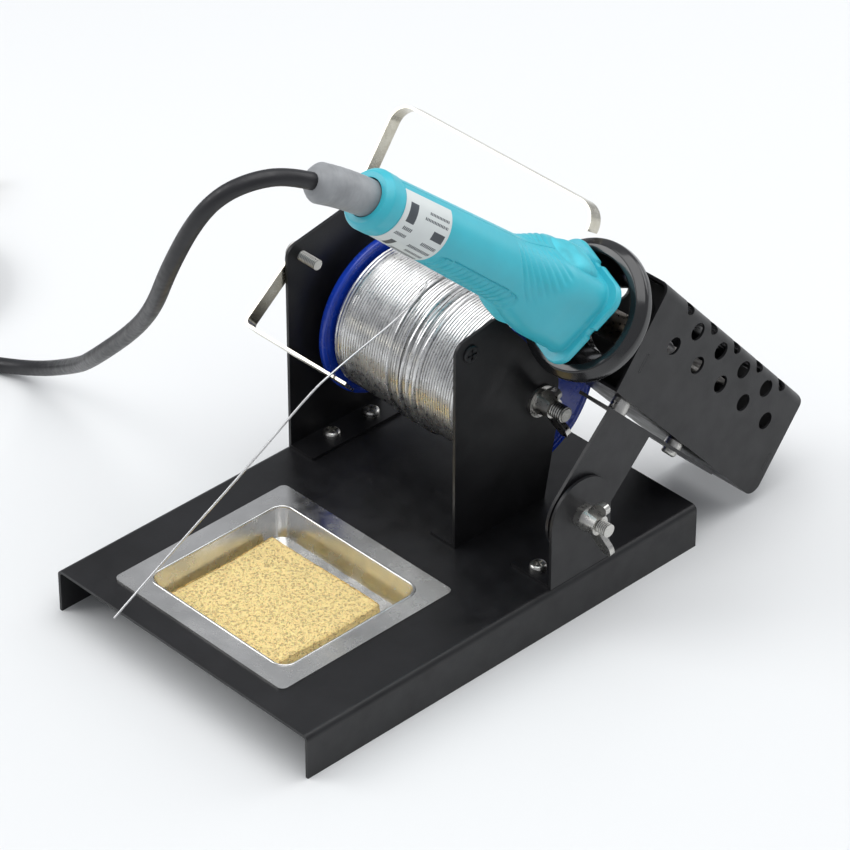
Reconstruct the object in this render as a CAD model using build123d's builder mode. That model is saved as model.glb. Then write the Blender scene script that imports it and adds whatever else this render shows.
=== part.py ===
"""Bench station for a soldering iron: a folded steel base with a tray and sponge, a solder reel on an axle
between two uprights, a wire guide, a cord bail, and a hinged guard with a collar that holds the iron.

Frame: +X to the right, +Y to the rear, +Z up, on the table at Z 0. Everything is drawn from the centre of
the base, and moved at the end so that the origin is the middle of the whole station without its cord.
Side profiles are drawn on planes of constant X, in (distance behind the base's front edge, height)."""

import os
from math import asin, cos, degrees, pi, radians, sin, tan

from build123d import *

os.makedirs("parts", exist_ok=True)

# ---------------------------------------------------------------- driving dimensions, in millimetres
SHEET = 1.2  # folded steel of the base, uprights, bracket and arm
THIN = 1.0  # sheet of the guard and thickness of the two bent strips
FIT = 0.05  # radial clearance of a running fit, and of tabs in slots
GAP = 0.3  # clearance between pieces that move past each other

BASE_LENGTH = 190.0
BASE_HEIGHT = 18.0
BEND = 2.4  # outside bend radius
SIDE_INSET = 1.4  # base's left edge to the left upright
REEL_GAP = 84.7  # between the uprights
GUARD_GAP = 1.3  # right upright to the guard
GUARD_WIDTH = 37.2
WASHER = 0.8
WING_INSET = 1.0  # wing bracket to the base's right edge
BASE_WIDTH = SIDE_INSET + SHEET + REEL_GAP + SHEET + GUARD_GAP + GUARD_WIDTH + WASHER + SHEET + WING_INSET

TRAY_WIDTH, TRAY_LENGTH = 88.0, 81.0
TRAY_RIM = 7.5
TRAY_SETBACK = 10.5  # front edge of the base to the tray
TRAY_OFFSET = -3.0  # tray's centre from the base's centre line
TRAY_DEPTH = 10.0
TRAY_SHEET = 0.6
TRAY_DRAFT = 3.5  # how far each wall leans in
SPONGE_WIDTH, SPONGE_LENGTH, SPONGE_HEIGHT = 57.5, 51.0, 4.2

UPRIGHT_REAR_SETBACK = 81.0  # base's rear edge to the uprights' front edge
UPRIGHT_FRONT = BASE_LENGTH - UPRIGHT_REAR_SETBACK
UPRIGHT_DEPTH = 45.0
UPRIGHT_TOP = 104.0  # height of the front top corner
FOOT = 12.0

AXLE_Y, AXLE_Z = UPRIGHT_FRONT + 42.0, 62.0
AXLE_R = 3.0
SLEEVE_R = 6.0
FLANGE_R = 32.6
FLANGE = 3.0
WINDING_R = 29.0
HUB_R = 15.0
REEL_LEFT, REEL_RIGHT = 5.0, 3.0  # reel to each upright

GUIDE_Y, GUIDE_Z = UPRIGHT_FRONT + 7.0, 98.5
GUIDE_LEG, GUIDE_BAR, GUIDE_ANGLE = 32.0, 53.5, 218.7
BAIL_Y, BAIL_Z = UPRIGHT_FRONT + 35.7, 100.3
BAIL_LEG, BAIL_BAR, BAIL_DROP, BAIL_ANGLE = 45.6, REEL_GAP + 16.0, 9.0, 54.8
BAIL_SPACER = 3.6
STRIP = 6.0
M4 = 2.0

PIVOT_Y, PIVOT_Z = UPRIGHT_FRONT + 22.2, 43.5
BRACKET_WIDTH = 29.3
BRACKET_FOOT = 19.0
ARM_WIDTH = 29.4
ARM_LENGTH = 37.0
ARM_ANGLE = 45.0
SHELF_WIDTH = 15.0
SHELF_FRONT, SHELF_REAR = 15.0, 62.0
M5 = 2.5

MOUTH_Y, MOUTH_Z = UPRIGHT_FRONT + 40.2, 85.8  # bottom edge of the guard's mouth
GUARD_PITCH = 48.2
GUARD_LENGTH = 111.3
GUARD_HEIGHT = 40.8
MOUTH_LEAN = 10.0  # degrees that the mouth leans from square to the guard
PLATE_SET = 7.0
HOLE_R = 3.4
HOLE_PITCH = 18.9

COLLAR_R = 25.6
COLLAR_OPENING = 19.8
COLLAR_REACH = 15.8  # crest of the collar in front of the mouth
COLLAR_BORE = 12.5

IRON_PITCH, IRON_YAW, IRON_ROLL = 41.0, 9.0, 12.6
IRON_STANDOFF = 20.3  # handle's flange in front of the mouth
IRON_SHIFT = -1.65
HANDLE_FLANGE, FLANGE_SIDE = 3.0, 36.0
GRIP_R, GRIP_END_R = 12.0, 10.5
NOSE_SIDE, NOSE_END, NOSE_TAPER = 30.5, 18.0, 42.0
GRIP_END, HANDLE_END = 104.0, 112.0
HANDLE_WALL = 2.2
BARREL_R, BARREL_END = 5.5, 56.0
TIP_R, TIP_END = 3.2, 98.0

CORD_R = 3.0
COIL_X, COIL_Y = -271.0, -11.0  # coil's centre, from the origin
COIL_MID_R = 33.0
COIL_TURNS_WIDE, COIL_TURNS_HIGH = 3, 2

# ---------------------------------------------------------------- places that follow from the sizes
X_LEFT = -BASE_WIDTH / 2
Y_FRONT = -BASE_LENGTH / 2
LEFT_OUT = X_LEFT + SIDE_INSET
LEFT_IN = LEFT_OUT + SHEET
RIGHT_IN = LEFT_IN + REEL_GAP
RIGHT_OUT = RIGHT_IN + SHEET
GUARD_X0 = RIGHT_OUT + GUARD_GAP
GUARD_X1 = GUARD_X0 + GUARD_WIDTH
GUARD_MID = (GUARD_X0 + GUARD_X1) / 2
BRACKET_IN = GUARD_X1 + WASHER
BRACKET_OUT = BRACKET_IN + SHEET
ARM_IN = GUARD_X1 - SHEET
DECK = BASE_HEIGHT
FOOT_TOP = DECK + SHEET
MOUTH_LENGTH = GUARD_HEIGHT / cos(radians(MOUTH_LEAN))
COLLAR_PITCH = GUARD_PITCH - MOUTH_LEAN


def direction(pitch):
    """Unit vector that goes rearwards and down by pitch degrees."""
    return Vector(0, cos(radians(pitch)), -sin(radians(pitch)))


def side_plane(x, y=0.0, z=0.0, angle=0.0):
    """Plane of constant X whose local x runs rearwards, turned up by angle; extruding goes to +X."""
    return Plane(origin=(x, Y_FRONT + y, z), x_dir=direction(-angle), z_dir=(1, 0, 0))


def save(piece, name):
    piece.part.label = name
    export_step(piece.part, f"parts/{name}.step")


# ---------------------------------------------------------------- hardware
def hex_nut(plane, across_flats, thickness, bore):
    with BuildPart(mode=Mode.PRIVATE) as nut:
        with BuildSketch(plane):
            RegularPolygon(radius=across_flats / 2, side_count=6, major_radius=False)
            Circle(bore, mode=Mode.SUBTRACT)
        extrude(amount=thickness)
    return nut.part


def pan_screw(plane, shank_r, shank_length, head_r, head_height):
    """Cross-head screw: the head stands on the plane, the shank goes below it."""
    with BuildPart(mode=Mode.PRIVATE) as screw:
        with BuildSketch(plane):
            Circle(head_r)
        extrude(amount=head_height)
        fillet(screw.faces().sort_by(Axis(plane.origin, plane.z_dir))[-1].edges(), head_height * 0.6)
        with BuildSketch(plane.offset(head_height)):
            Rectangle(head_r * 1.3, head_r * 0.28)
            Rectangle(head_r * 0.28, head_r * 1.3)
        extrude(amount=-head_height * 0.5, mode=Mode.SUBTRACT)
        with BuildSketch(plane):
            Circle(shank_r)
        extrude(amount=-shank_length)
    return screw.part


def wing_nut(plane, bore, angle):
    """Wing nut that stands on the plane, with its wings turned by angle."""
    along = plane.x_dir * cos(radians(angle)) + plane.y_dir * sin(radians(angle))
    with BuildPart(mode=Mode.PRIVATE) as nut:
        with BuildSketch(plane):
            Circle(4.6)
        with BuildSketch(plane.offset(6.0)):
            Circle(3.8)
        loft()
        for side in (1, -1):
            wing_plane = Plane(
                origin=plane.origin, x_dir=along * side, z_dir=(along * side).cross(plane.z_dir)
            )
            with BuildSketch(wing_plane):
                with BuildLine():
                    FilletPolyline(
                        (2.6, 0.6), (7.0, 2.6), (11.6, 7.6), (11.4, 11.2), (8.0, 10.6), (2.6, 5.6),
                        radius=[0.4, 2.5, 1.4, 1.4, 3.0, 0.4], close=True,
                    )
                make_face()
            extrude(amount=1.1, both=True)
        with BuildSketch(plane):
            Circle(bore)
        extrude(amount=7.0, mode=Mode.SUBTRACT)
    return nut.part


# ---------------------------------------------------------------- base, tray and sponge
tray_mid = (TRAY_OFFSET, Y_FRONT + TRAY_SETBACK + TRAY_LENGTH / 2)
well_width, well_length = TRAY_WIDTH - 2 * TRAY_RIM, TRAY_LENGTH - 2 * TRAY_RIM
left_screw_x = LEFT_IN + FOOT * 0.45
right_screw_x = RIGHT_IN - FOOT * 0.45
upright_screw_y = [UPRIGHT_FRONT + UPRIGHT_DEPTH * share for share in (0.34, 0.78)]
bracket_screw_x = BRACKET_IN - BRACKET_FOOT * 0.53
bracket_screw_y = [PIVOT_Y - BRACKET_WIDTH * 0.33, PIVOT_Y + BRACKET_WIDTH * 0.33]
foot_screws = [(x, Y_FRONT + y) for x in (left_screw_x, right_screw_x) for y in upright_screw_y]
bracket_screws_at = [(bracket_screw_x, Y_FRONT + y) for y in bracket_screw_y]

with BuildPart() as base_plate:
    with BuildSketch(Plane(origin=(0, Y_FRONT, 0), x_dir=(1, 0, 0), z_dir=(0, -1, 0))):
        with BuildLine():
            edge, top, inner = BASE_WIDTH / 2, BASE_HEIGHT, BASE_WIDTH / 2 - SHEET
            FilletPolyline(
                (-edge, 0), (-edge, top), (edge, top), (edge, 0),
                (inner, 0), (inner, top - SHEET), (-inner, top - SHEET), (-inner, 0),
                radius=[0, BEND, BEND, 0, 0, BEND - SHEET, BEND - SHEET, 0], close=True,
            )
        make_face()
    extrude(amount=-BASE_LENGTH)
    with BuildSketch(Plane.XY.offset(DECK)):
        with Locations(tray_mid):
            RectangleRounded(well_width + 1.6, well_length + 1.6, 6.8)
        with Locations(*foot_screws, *bracket_screws_at):
            Circle(1.7)
    extrude(amount=-2 * SHEET, mode=Mode.SUBTRACT)

with BuildPart() as sponge_tray:
    with BuildSketch(Plane.XY.offset(DECK)):
        with Locations(tray_mid):
            RectangleRounded(TRAY_WIDTH, TRAY_LENGTH, 2.5)
    extrude(amount=TRAY_SHEET)
    with BuildSketch(Plane.XY.offset(DECK)):
        with Locations(tray_mid):
            RectangleRounded(well_width, well_length, 6.0)
    with BuildSketch(Plane.XY.offset(DECK - TRAY_DEPTH - TRAY_SHEET)):
        with Locations(tray_mid):
            RectangleRounded(well_width - 2 * TRAY_DRAFT, well_length - 2 * TRAY_DRAFT, 4.5)
    loft()
    with BuildSketch(Plane.XY.offset(DECK + TRAY_SHEET)):
        with Locations(tray_mid):
            RectangleRounded(well_width - 2 * TRAY_SHEET, well_length - 2 * TRAY_SHEET, 5.4)
    with BuildSketch(Plane.XY.offset(DECK - TRAY_DEPTH)):
        with Locations(tray_mid):
            RectangleRounded(
                well_width - 2 * (TRAY_DRAFT + TRAY_SHEET), well_length - 2 * (TRAY_DRAFT + TRAY_SHEET), 3.9
            )
    loft(mode=Mode.SUBTRACT)

# the sponge lies towards the front left of the well's floor
well_floor = DECK - TRAY_DEPTH
sponge_x = tray_mid[0] - well_width / 2 + TRAY_DRAFT + TRAY_SHEET + 1.5 + SPONGE_WIDTH / 2
sponge_y = tray_mid[1] - well_length / 2 + TRAY_DRAFT + TRAY_SHEET + 0.8 + SPONGE_LENGTH / 2
with BuildPart() as sponge:
    with BuildSketch(Plane.XY.offset(well_floor)):
        with Locations((sponge_x, sponge_y)):
            RectangleRounded(SPONGE_WIDTH, SPONGE_LENGTH, 2.0)
    extrude(amount=SPONGE_HEIGHT)

# ---------------------------------------------------------------- uprights
front, rear = UPRIGHT_FRONT, UPRIGHT_FRONT + UPRIGHT_DEPTH
left_outline = [
    (front, DECK), (front, UPRIGHT_TOP), (front + 28, UPRIGHT_TOP + 5), (front + 56, UPRIGHT_TOP + 8),
    (front + 57, UPRIGHT_TOP - 15), (rear + 1.5, UPRIGHT_TOP - 21), (rear, DECK),
]
left_radii = [0, 5, 12, 6, 5, 8, 0]
right_outline = [
    (front, DECK), (front, UPRIGHT_TOP), (front + 21, UPRIGHT_TOP + 3.5),
    (AXLE_Y + 9, AXLE_Z + 7), (AXLE_Y + 9, AXLE_Z - 12), (rear, DECK),
]
right_radii = [0, 5, 6, 8, 10, 0]


def upright(x, foot_x, outline, radii, screw_x):
    with BuildPart(mode=Mode.PRIVATE) as plate:
        with BuildSketch(side_plane(x)):
            with BuildLine():
                FilletPolyline(*outline, radius=radii, close=True)
            make_face()
        extrude(amount=SHEET)
        with BuildSketch(Plane.XY.offset(DECK)):
            with Locations((foot_x, Y_FRONT + front + UPRIGHT_DEPTH / 2)):
                RectangleRounded(FOOT + SHEET, UPRIGHT_DEPTH, 1.1)
        extrude(amount=SHEET)
        with BuildSketch(Plane.XY.offset(DECK)):
            with Locations(*[(screw_x, Y_FRONT + y) for y in upright_screw_y]):
                Circle(1.7)
        extrude(amount=SHEET, mode=Mode.SUBTRACT)
        with BuildSketch(side_plane(x - 1)):
            with Locations((AXLE_Y, AXLE_Z)):
                Circle(AXLE_R)
            if screw_x < 0:
                with Locations((GUIDE_Y, GUIDE_Z), (BAIL_Y, BAIL_Z)):
                    Circle(M4)
            else:
                with Locations((GUIDE_Y, GUIDE_Z)):
                    Circle(M4)
        extrude(amount=SHEET + 2, mode=Mode.SUBTRACT)
    return plate.part


with BuildPart() as left_upright:
    add(upright(LEFT_OUT, LEFT_OUT + (FOOT + SHEET) / 2, left_outline, left_radii, left_screw_x))
with BuildPart() as right_upright:
    add(upright(RIGHT_IN, RIGHT_OUT - (FOOT + SHEET) / 2, right_outline, right_radii, right_screw_x))

with BuildPart() as upright_screws:
    for x, y in foot_screws:
        add(pan_screw(Plane((x, y, FOOT_TOP)), 1.5, 7.5, 3.2, 2.2))
with BuildPart() as upright_nuts:
    for x, y in foot_screws:
        add(hex_nut(Plane((x, y, DECK - SHEET - 2.4)), 5.5, 2.4, 1.5))

# ---------------------------------------------------------------- axle and reel
reel_x0, reel_x1 = LEFT_IN + REEL_LEFT, RIGHT_IN - REEL_RIGHT
with BuildPart() as axle_rod:
    with BuildSketch(side_plane(LEFT_OUT - 6.0, AXLE_Y, AXLE_Z)):
        Circle(AXLE_R)
    extrude(amount=RIGHT_OUT - LEFT_OUT + 6.0 + 13.0)
    chamfer(axle_rod.edges().filter_by(GeomType.CIRCLE), 0.5)
with BuildPart() as axle_sleeve:
    with BuildSketch(side_plane(LEFT_IN, AXLE_Y, AXLE_Z)):
        Circle(SLEEVE_R)
        Circle(AXLE_R, mode=Mode.SUBTRACT)
    extrude(amount=REEL_GAP)
with BuildPart() as axle_nut:
    add(hex_nut(side_plane(LEFT_OUT - 4.8, AXLE_Y, AXLE_Z), 10.0, 4.8, AXLE_R))
with BuildPart() as axle_washer:
    with BuildSketch(side_plane(RIGHT_OUT, AXLE_Y, AXLE_Z)):
        Circle(6.2)
        Circle(AXLE_R, mode=Mode.SUBTRACT)
    extrude(amount=1.0)
with BuildPart() as axle_wing_nut:
    add(wing_nut(side_plane(RIGHT_OUT + 1.0 + FIT, AXLE_Y, AXLE_Z), AXLE_R + FIT, 105))

with BuildPart() as reel:
    with BuildSketch(Plane.XY):
        with BuildLine():
            # half section: x is the radius, y the place along the axle
            FilletPolyline(
                (SLEEVE_R + 0.08, reel_x0), (FLANGE_R, reel_x0), (FLANGE_R, reel_x0 + FLANGE),
                (HUB_R, reel_x0 + FLANGE), (HUB_R, reel_x1 - FLANGE), (FLANGE_R, reel_x1 - FLANGE),
                (FLANGE_R, reel_x1), (SLEEVE_R + 0.08, reel_x1),
                radius=[0, 1.2, 1.2, 0, 0, 1.2, 1.2, 0], close=True,
            )
        make_face()
    revolve(axis=Axis.Y)
reel.part.locate(Location(side_plane(0, AXLE_Y, AXLE_Z)) * Location((0, 0, 0), (90, 0, 0)))
with BuildPart() as solder_winding:
    with BuildSketch(side_plane(reel_x0 + FLANGE, AXLE_Y, AXLE_Z)):
        Circle(WINDING_R)
        Circle(HUB_R, mode=Mode.SUBTRACT)
    extrude(amount=reel_x1 - reel_x0 - 2 * FLANGE)
    fillet(solder_winding.edges().filter_by(GeomType.CIRCLE).sort_by(SortBy.RADIUS)[-2:], 1.0)

# ---------------------------------------------------------------- wire guide, bail and their bolts
guide_out = LEFT_OUT - GAP - THIN
bail_out = LEFT_OUT - BAIL_SPACER - THIN


def bent_strip(x, y, z, angle, outline, radii):
    """Strip bent in the plane of X and the leg's direction; outline in (distance from x, along the leg)."""
    leg = direction(-angle)
    plane = Plane(origin=(x, Y_FRONT + y, z), x_dir=(1, 0, 0), z_dir=Vector(1, 0, 0).cross(leg))
    with BuildPart(mode=Mode.PRIVATE) as strip:
        with BuildSketch(plane):
            with BuildLine():
                FilletPolyline(*outline, radius=radii, close=True)
            make_face()
        extrude(amount=STRIP / 2, both=True)
        with BuildSketch(side_plane(x - 1, y, z)):
            Circle(M4 + FIT)
        extrude(amount=THIN + 2, mode=Mode.SUBTRACT)
    return strip.part


with BuildPart() as wire_guide:
    add(bent_strip(
        guide_out, GUIDE_Y, GUIDE_Z, GUIDE_ANGLE,
        [(0, -4.5), (0, GUIDE_LEG), (GUIDE_BAR, GUIDE_LEG), (GUIDE_BAR, GUIDE_LEG - THIN),
         (THIN, GUIDE_LEG - THIN), (THIN, -4.5)],
        [0, 3.0, 0, 0, 2.0, 0],
    ))
    fillet(wire_guide.edges().filter_by(Axis.X).filter_by(lambda e: e.length < 1.5).sort_by(Axis.Y)[-2:], 2.6)
with BuildPart() as bail:
    add(bent_strip(
        bail_out, BAIL_Y, BAIL_Z, BAIL_ANGLE,
        [(0, -4.5), (0, BAIL_LEG), (BAIL_BAR, BAIL_LEG), (BAIL_BAR, BAIL_LEG - BAIL_DROP),
         (BAIL_BAR - THIN, BAIL_LEG - BAIL_DROP), (BAIL_BAR - THIN, BAIL_LEG - THIN),
         (THIN, BAIL_LEG - THIN), (THIN, -4.5)],
        [0, 8.0, 8.0, 0, 0, 7.0, 7.0, 0],
    ))
    fillet(bail.edges().filter_by(Axis.X).filter_by(lambda e: e.length < 1.5).sort_by(Axis.Z)[:2], 2.6)

outward = (-1, 0, 0)
with BuildPart() as guide_bolt:
    add(pan_screw(
        Plane((guide_out - GAP, Y_FRONT + GUIDE_Y, GUIDE_Z), x_dir=(0, 1, 0), z_dir=outward),
        M4, GAP + THIN + GAP + SHEET + 8.5, 3.9, 2.6,
    ))
with BuildPart() as bail_bolt:
    add(pan_screw(
        Plane((bail_out - GAP, Y_FRONT + BAIL_Y, BAIL_Z), x_dir=(0, 1, 0), z_dir=outward),
        M4, GAP + THIN + BAIL_SPACER + SHEET + 2.2, 3.9, 2.6,
    ))
with BuildPart() as bail_spacer:
    with BuildSketch(side_plane(bail_out + THIN + GAP, BAIL_Y, BAIL_Z)):
        Circle(3.6)
        Circle(M4, mode=Mode.SUBTRACT)
    extrude(amount=BAIL_SPACER - GAP)
with BuildPart() as plate_screw:
    add(pan_screw(side_plane(RIGHT_OUT, GUIDE_Y, GUIDE_Z), M4, SHEET + 3.0, 3.4, 1.0))

# loose end of solder: off the winding, over the guide's bar and down past the front edge
solder_r = 0.5
leave = asin((WINDING_R + solder_r + GAP) / 62.6) - asin(16.9 / 62.6)
with BuildPart() as solder_tail:
    with BuildLine() as tail_line:
        FilletPolyline(
            (X_LEFT + 38.0, Y_FRONT + AXLE_Y - 29.8 * sin(leave), AXLE_Z + 29.8 * cos(leave)),
            (X_LEFT + 47.0, Y_FRONT + GUIDE_Y - 27.2, 82.6),
            (X_LEFT + 37.7, Y_FRONT - 6.2, 20.0),
            radius=12.0,
        )
    with BuildSketch(Plane(tail_line.line @ 0, z_dir=tail_line.line % 0)):
        Circle(solder_r)
    sweep()

# ---------------------------------------------------------------- wing bracket and pivot
with BuildPart() as wing_bracket:
    with BuildSketch(side_plane(BRACKET_IN, PIVOT_Y)):
        with BuildLine():
            half = BRACKET_WIDTH / 2
            Polyline((-half, PIVOT_Z), (-half, DECK), (half, DECK), (half, PIVOT_Z))
            ThreePointArc((half, PIVOT_Z), (0, PIVOT_Z + half), (-half, PIVOT_Z))
        make_face()
        with Locations((0, PIVOT_Z)):
            Circle(M5, mode=Mode.SUBTRACT)
    extrude(amount=SHEET)
    with BuildSketch(Plane.XY.offset(DECK)):
        with Locations((BRACKET_OUT - (BRACKET_FOOT + SHEET) / 2, Y_FRONT + PIVOT_Y)):
            RectangleRounded(BRACKET_FOOT + SHEET, BRACKET_WIDTH, 1.1)
    extrude(amount=SHEET)
    with BuildSketch(Plane.XY.offset(DECK)):
        with Locations(*bracket_screws_at):
            Circle(1.7)
    extrude(amount=SHEET, mode=Mode.SUBTRACT)
with BuildPart() as bracket_screws:
    for x, y in bracket_screws_at:
        add(pan_screw(Plane((x, y, FOOT_TOP)), 1.5, 7.5, 3.2, 2.2))
with BuildPart() as bracket_nuts:
    for x, y in bracket_screws_at:
        add(hex_nut(Plane((x, y, DECK - SHEET - 2.4)), 5.5, 2.4, 1.5))

with BuildPart() as pivot_washer:
    with BuildSketch(side_plane(GUARD_X1 + FIT, PIVOT_Y, PIVOT_Z)):
        Circle(8.0)
        Circle(M5, mode=Mode.SUBTRACT)
    extrude(amount=WASHER - FIT)
with BuildPart() as pivot_bolt:
    with BuildSketch(side_plane(ARM_IN - FIT, PIVOT_Y, PIVOT_Z)):
        Circle(5.8)
    extrude(amount=-2.8)
    fillet(pivot_bolt.faces().sort_by(Axis.X)[0].edges(), 1.8)
    with BuildSketch(side_plane(ARM_IN - FIT, PIVOT_Y, PIVOT_Z)):
        Circle(M5)
    extrude(amount=BRACKET_OUT - ARM_IN + 13.5)
with BuildPart() as pivot_nut:
    add(hex_nut(side_plane(BRACKET_OUT, PIVOT_Y, PIVOT_Z), 8.0, 3.0, M5))
with BuildPart() as pivot_wing_nut:
    add(wing_nut(side_plane(BRACKET_OUT + 3.0 + FIT, PIVOT_Y, PIVOT_Z), M5 + FIT, 98))

# ---------------------------------------------------------------- holder arm with its shelf under the guard
shelf_screws_at = (SHELF_FRONT - 16.0, 10.0 - SHELF_REAR * 0.85)
shelf_screw_x = GUARD_X1 - SHELF_WIDTH * 0.55


def arm_plane(x):
    """Local x runs up the arm, local y up and forwards along the shelf."""
    return side_plane(x, PIVOT_Y, PIVOT_Z, ARM_ANGLE)


def shelf_axis(along, height):
    """Plane square to the shelf's top, at a screw, height above the shelf."""
    base = arm_plane(shelf_screw_x)
    origin = base.from_local_coords((ARM_LENGTH + height, along, 0))
    return Plane(origin=origin, x_dir=(1, 0, 0), z_dir=base.x_dir)


with BuildPart() as holder_arm:
    with BuildSketch(arm_plane(ARM_IN)):
        Circle(ARM_WIDTH / 2)
        with Locations((ARM_LENGTH / 2, 0)):
            Rectangle(ARM_LENGTH, ARM_WIDTH)
    extrude(amount=SHEET)
    with BuildSketch(arm_plane(GUARD_X1 - SHELF_WIDTH)):
        with Locations((ARM_LENGTH - SHEET / 2, (SHELF_FRONT - SHELF_REAR) / 2)):
            Rectangle(SHEET, SHELF_FRONT + SHELF_REAR)
    extrude(amount=SHELF_WIDTH)
    with BuildSketch(arm_plane(ARM_IN - 1)):
        Circle(M5 + FIT)
    extrude(amount=SHEET + 2, mode=Mode.SUBTRACT)
    for along in shelf_screws_at:
        with BuildSketch(shelf_axis(along, 1.0)):
            Circle(1.6)
        extrude(amount=-SHEET - 2, mode=Mode.SUBTRACT)

# ---------------------------------------------------------------- guard
lean = GUARD_HEIGHT * tan(radians(MOUTH_LEAN))
inner_width = GUARD_WIDTH - 2 * THIN


def guard_plane(x):
    """Local x runs down the guard's length from its mouth, local y square to its floor."""
    return side_plane(x, MOUTH_Y, MOUTH_Z, -GUARD_PITCH)


def mouth_plane(distance):
    """Parallel to the mouth, in front of it by distance; centred on the mouth, local y up its edge."""
    up = direction(COLLAR_PITCH - 90)
    centre = Vector(GUARD_MID, Y_FRONT + MOUTH_Y, MOUTH_Z) + up * (MOUTH_LENGTH / 2)
    outwards = direction(COLLAR_PITCH) * -1
    return Plane(origin=centre + outwards * distance, x_dir=(1, 0, 0), z_dir=outwards)


wall_outline = [(0, 0), (GUARD_LENGTH, 0), (GUARD_LENGTH - lean, GUARD_HEIGHT), (-lean, GUARD_HEIGHT)]
low_row = [(19.2 + HOLE_PITCH * n - 25.5 * sin(radians(MOUTH_LEAN)), 25.1) for n in range(5)]
high_row = [(28.6 + HOLE_PITCH * n - 35.0 * sin(radians(MOUTH_LEAN)), 34.4) for n in range(4)]
bend_row = [19.2 + HOLE_PITCH * n - lean for n in range(5)]
plate_places = {"front": PLATE_SET, "rear": GUARD_LENGTH - 3.3}
side_tab, top_tab = 7.0, 5.0
tab_rise = 13.9  # side tabs above the guard's floor
tab_spread = 12.0  # top tabs each side of the middle


def plate_plane(place):
    """Plane of a cross plate that stands at place along the floor."""
    return mouth_plane(-place * cos(radians(MOUTH_LEAN)))


def plate_base(place):
    """Local y at which a cross plate's plane meets the guard's floor line."""
    return -MOUTH_LENGTH / 2 - place * sin(radians(MOUTH_LEAN))


with BuildPart() as guard_shell:
    profile_plane = Plane(
        origin=guard_plane(GUARD_MID).from_local_coords((-20, 0, 0)), x_dir=(-1, 0, 0),
        z_dir=direction(GUARD_PITCH),
    )
    with BuildSketch(profile_plane):
        with BuildLine():
            half, high = GUARD_WIDTH / 2, GUARD_HEIGHT
            FilletPolyline(
                (-half, 0), (-half, high), (half, high), (half, 0), (half - THIN, 0),
                (half - THIN, high - THIN), (THIN - half, high - THIN), (THIN - half, 0),
                radius=[0, 3.4, 3.4, 0, 0, 2.4, 2.4, 0], close=True,
            )
        make_face()
    extrude(amount=GUARD_LENGTH + 40)
    with BuildSketch(guard_plane(GUARD_X0)):
        with BuildLine():
            FilletPolyline(*wall_outline, radius=[0, 5.0, 2.0, 0], close=True)
        make_face()
    extrude(amount=GUARD_WIDTH, mode=Mode.INTERSECT)
    with BuildSketch(guard_plane(GUARD_X0 - 1)):
        with Locations(*low_row, *high_row):
            Circle(HOLE_R)
    extrude(amount=GUARD_WIDTH + 2, mode=Mode.SUBTRACT)
    roof = Plane(
        origin=guard_plane(GUARD_MID).from_local_coords((0, GUARD_HEIGHT + 1, 0)),
        x_dir=direction(GUARD_PITCH), z_dir=guard_plane(0).y_dir,
    )
    with BuildSketch(roof):
        with Locations(*[(x + HOLE_PITCH / 2, y) for x in bend_row[:4] for y in (-9.5, 9.5)],
                       *[(x, 0) for x in bend_row]):
            Circle(HOLE_R)
    extrude(amount=-THIN - 2, mode=Mode.SUBTRACT)
    for side in (1, -1):
        corner = guard_plane(GUARD_MID + side * (GUARD_WIDTH / 2 - 1)).from_local_coords((0, GUARD_HEIGHT - 1, 0))
        slant = Vector(side, 0, 0) + guard_plane(0).y_dir
        with BuildSketch(Plane(origin=corner, x_dir=direction(GUARD_PITCH), z_dir=slant)):
            with Locations(*[(x, 0) for x in bend_row]):
                Circle(HOLE_R * 0.82)
        extrude(amount=4.0, both=True, mode=Mode.SUBTRACT)
    for place in plate_places.values():
        with BuildSketch(plate_plane(place)):
            with Locations((0, plate_base(place) + tab_rise)):
                Rectangle(GUARD_WIDTH + 2, side_tab + 4 * FIT)
            with Locations((-tab_spread, plate_base(place) + MOUTH_LENGTH), (tab_spread, plate_base(place) + MOUTH_LENGTH)):
                Rectangle(top_tab + 4 * FIT, 6.0)
        extrude(amount=THIN / 2 + 2 * FIT, both=True, mode=Mode.SUBTRACT)


def cross_plate(place, opening):
    slack = THIN / cos(radians(MOUTH_LEAN)) + THIN / 2 * tan(radians(MOUTH_LEAN)) + FIT
    low, high = plate_base(place) + slack, plate_base(place) + MOUTH_LENGTH - slack
    top = plate_base(place) + MOUTH_LENGTH
    with BuildPart(mode=Mode.PRIVATE) as plate:
        with BuildSketch(plate_plane(place)):
            with Locations((0, (low + high) / 2)):
                RectangleRounded(inner_width - 2 * FIT, high - low, 2.6)
            with Locations((0, plate_base(place) + tab_rise)):
                Rectangle(GUARD_WIDTH, side_tab)
            with Locations((-tab_spread, (high + top) / 2), (tab_spread, (high + top) / 2)):
                Rectangle(top_tab, top - high)
            if opening:
                Circle(opening, mode=Mode.SUBTRACT)
        extrude(amount=THIN / 2, both=True)
    return plate.part


with BuildPart() as front_plate:
    add(cross_plate(plate_places["front"], COLLAR_BORE + 2.0))
with BuildPart() as rear_plate:
    add(cross_plate(plate_places["rear"], 0))

floor_end = plate_places["rear"] - 2.0
with BuildPart() as guard_floor:
    with BuildSketch(guard_plane(GUARD_X0 + THIN + FIT)):
        with BuildLine():
            Polyline((0, 0), (floor_end, 0), (floor_end, THIN), (-THIN * tan(radians(MOUTH_LEAN)), THIN), close=True)
        make_face()
    extrude(amount=inner_width - 2 * FIT)
    for along in shelf_screws_at:
        with BuildSketch(shelf_axis(along, 0)):
            Circle(1.6)
        extrude(amount=12.0, mode=Mode.SUBTRACT)

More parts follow.
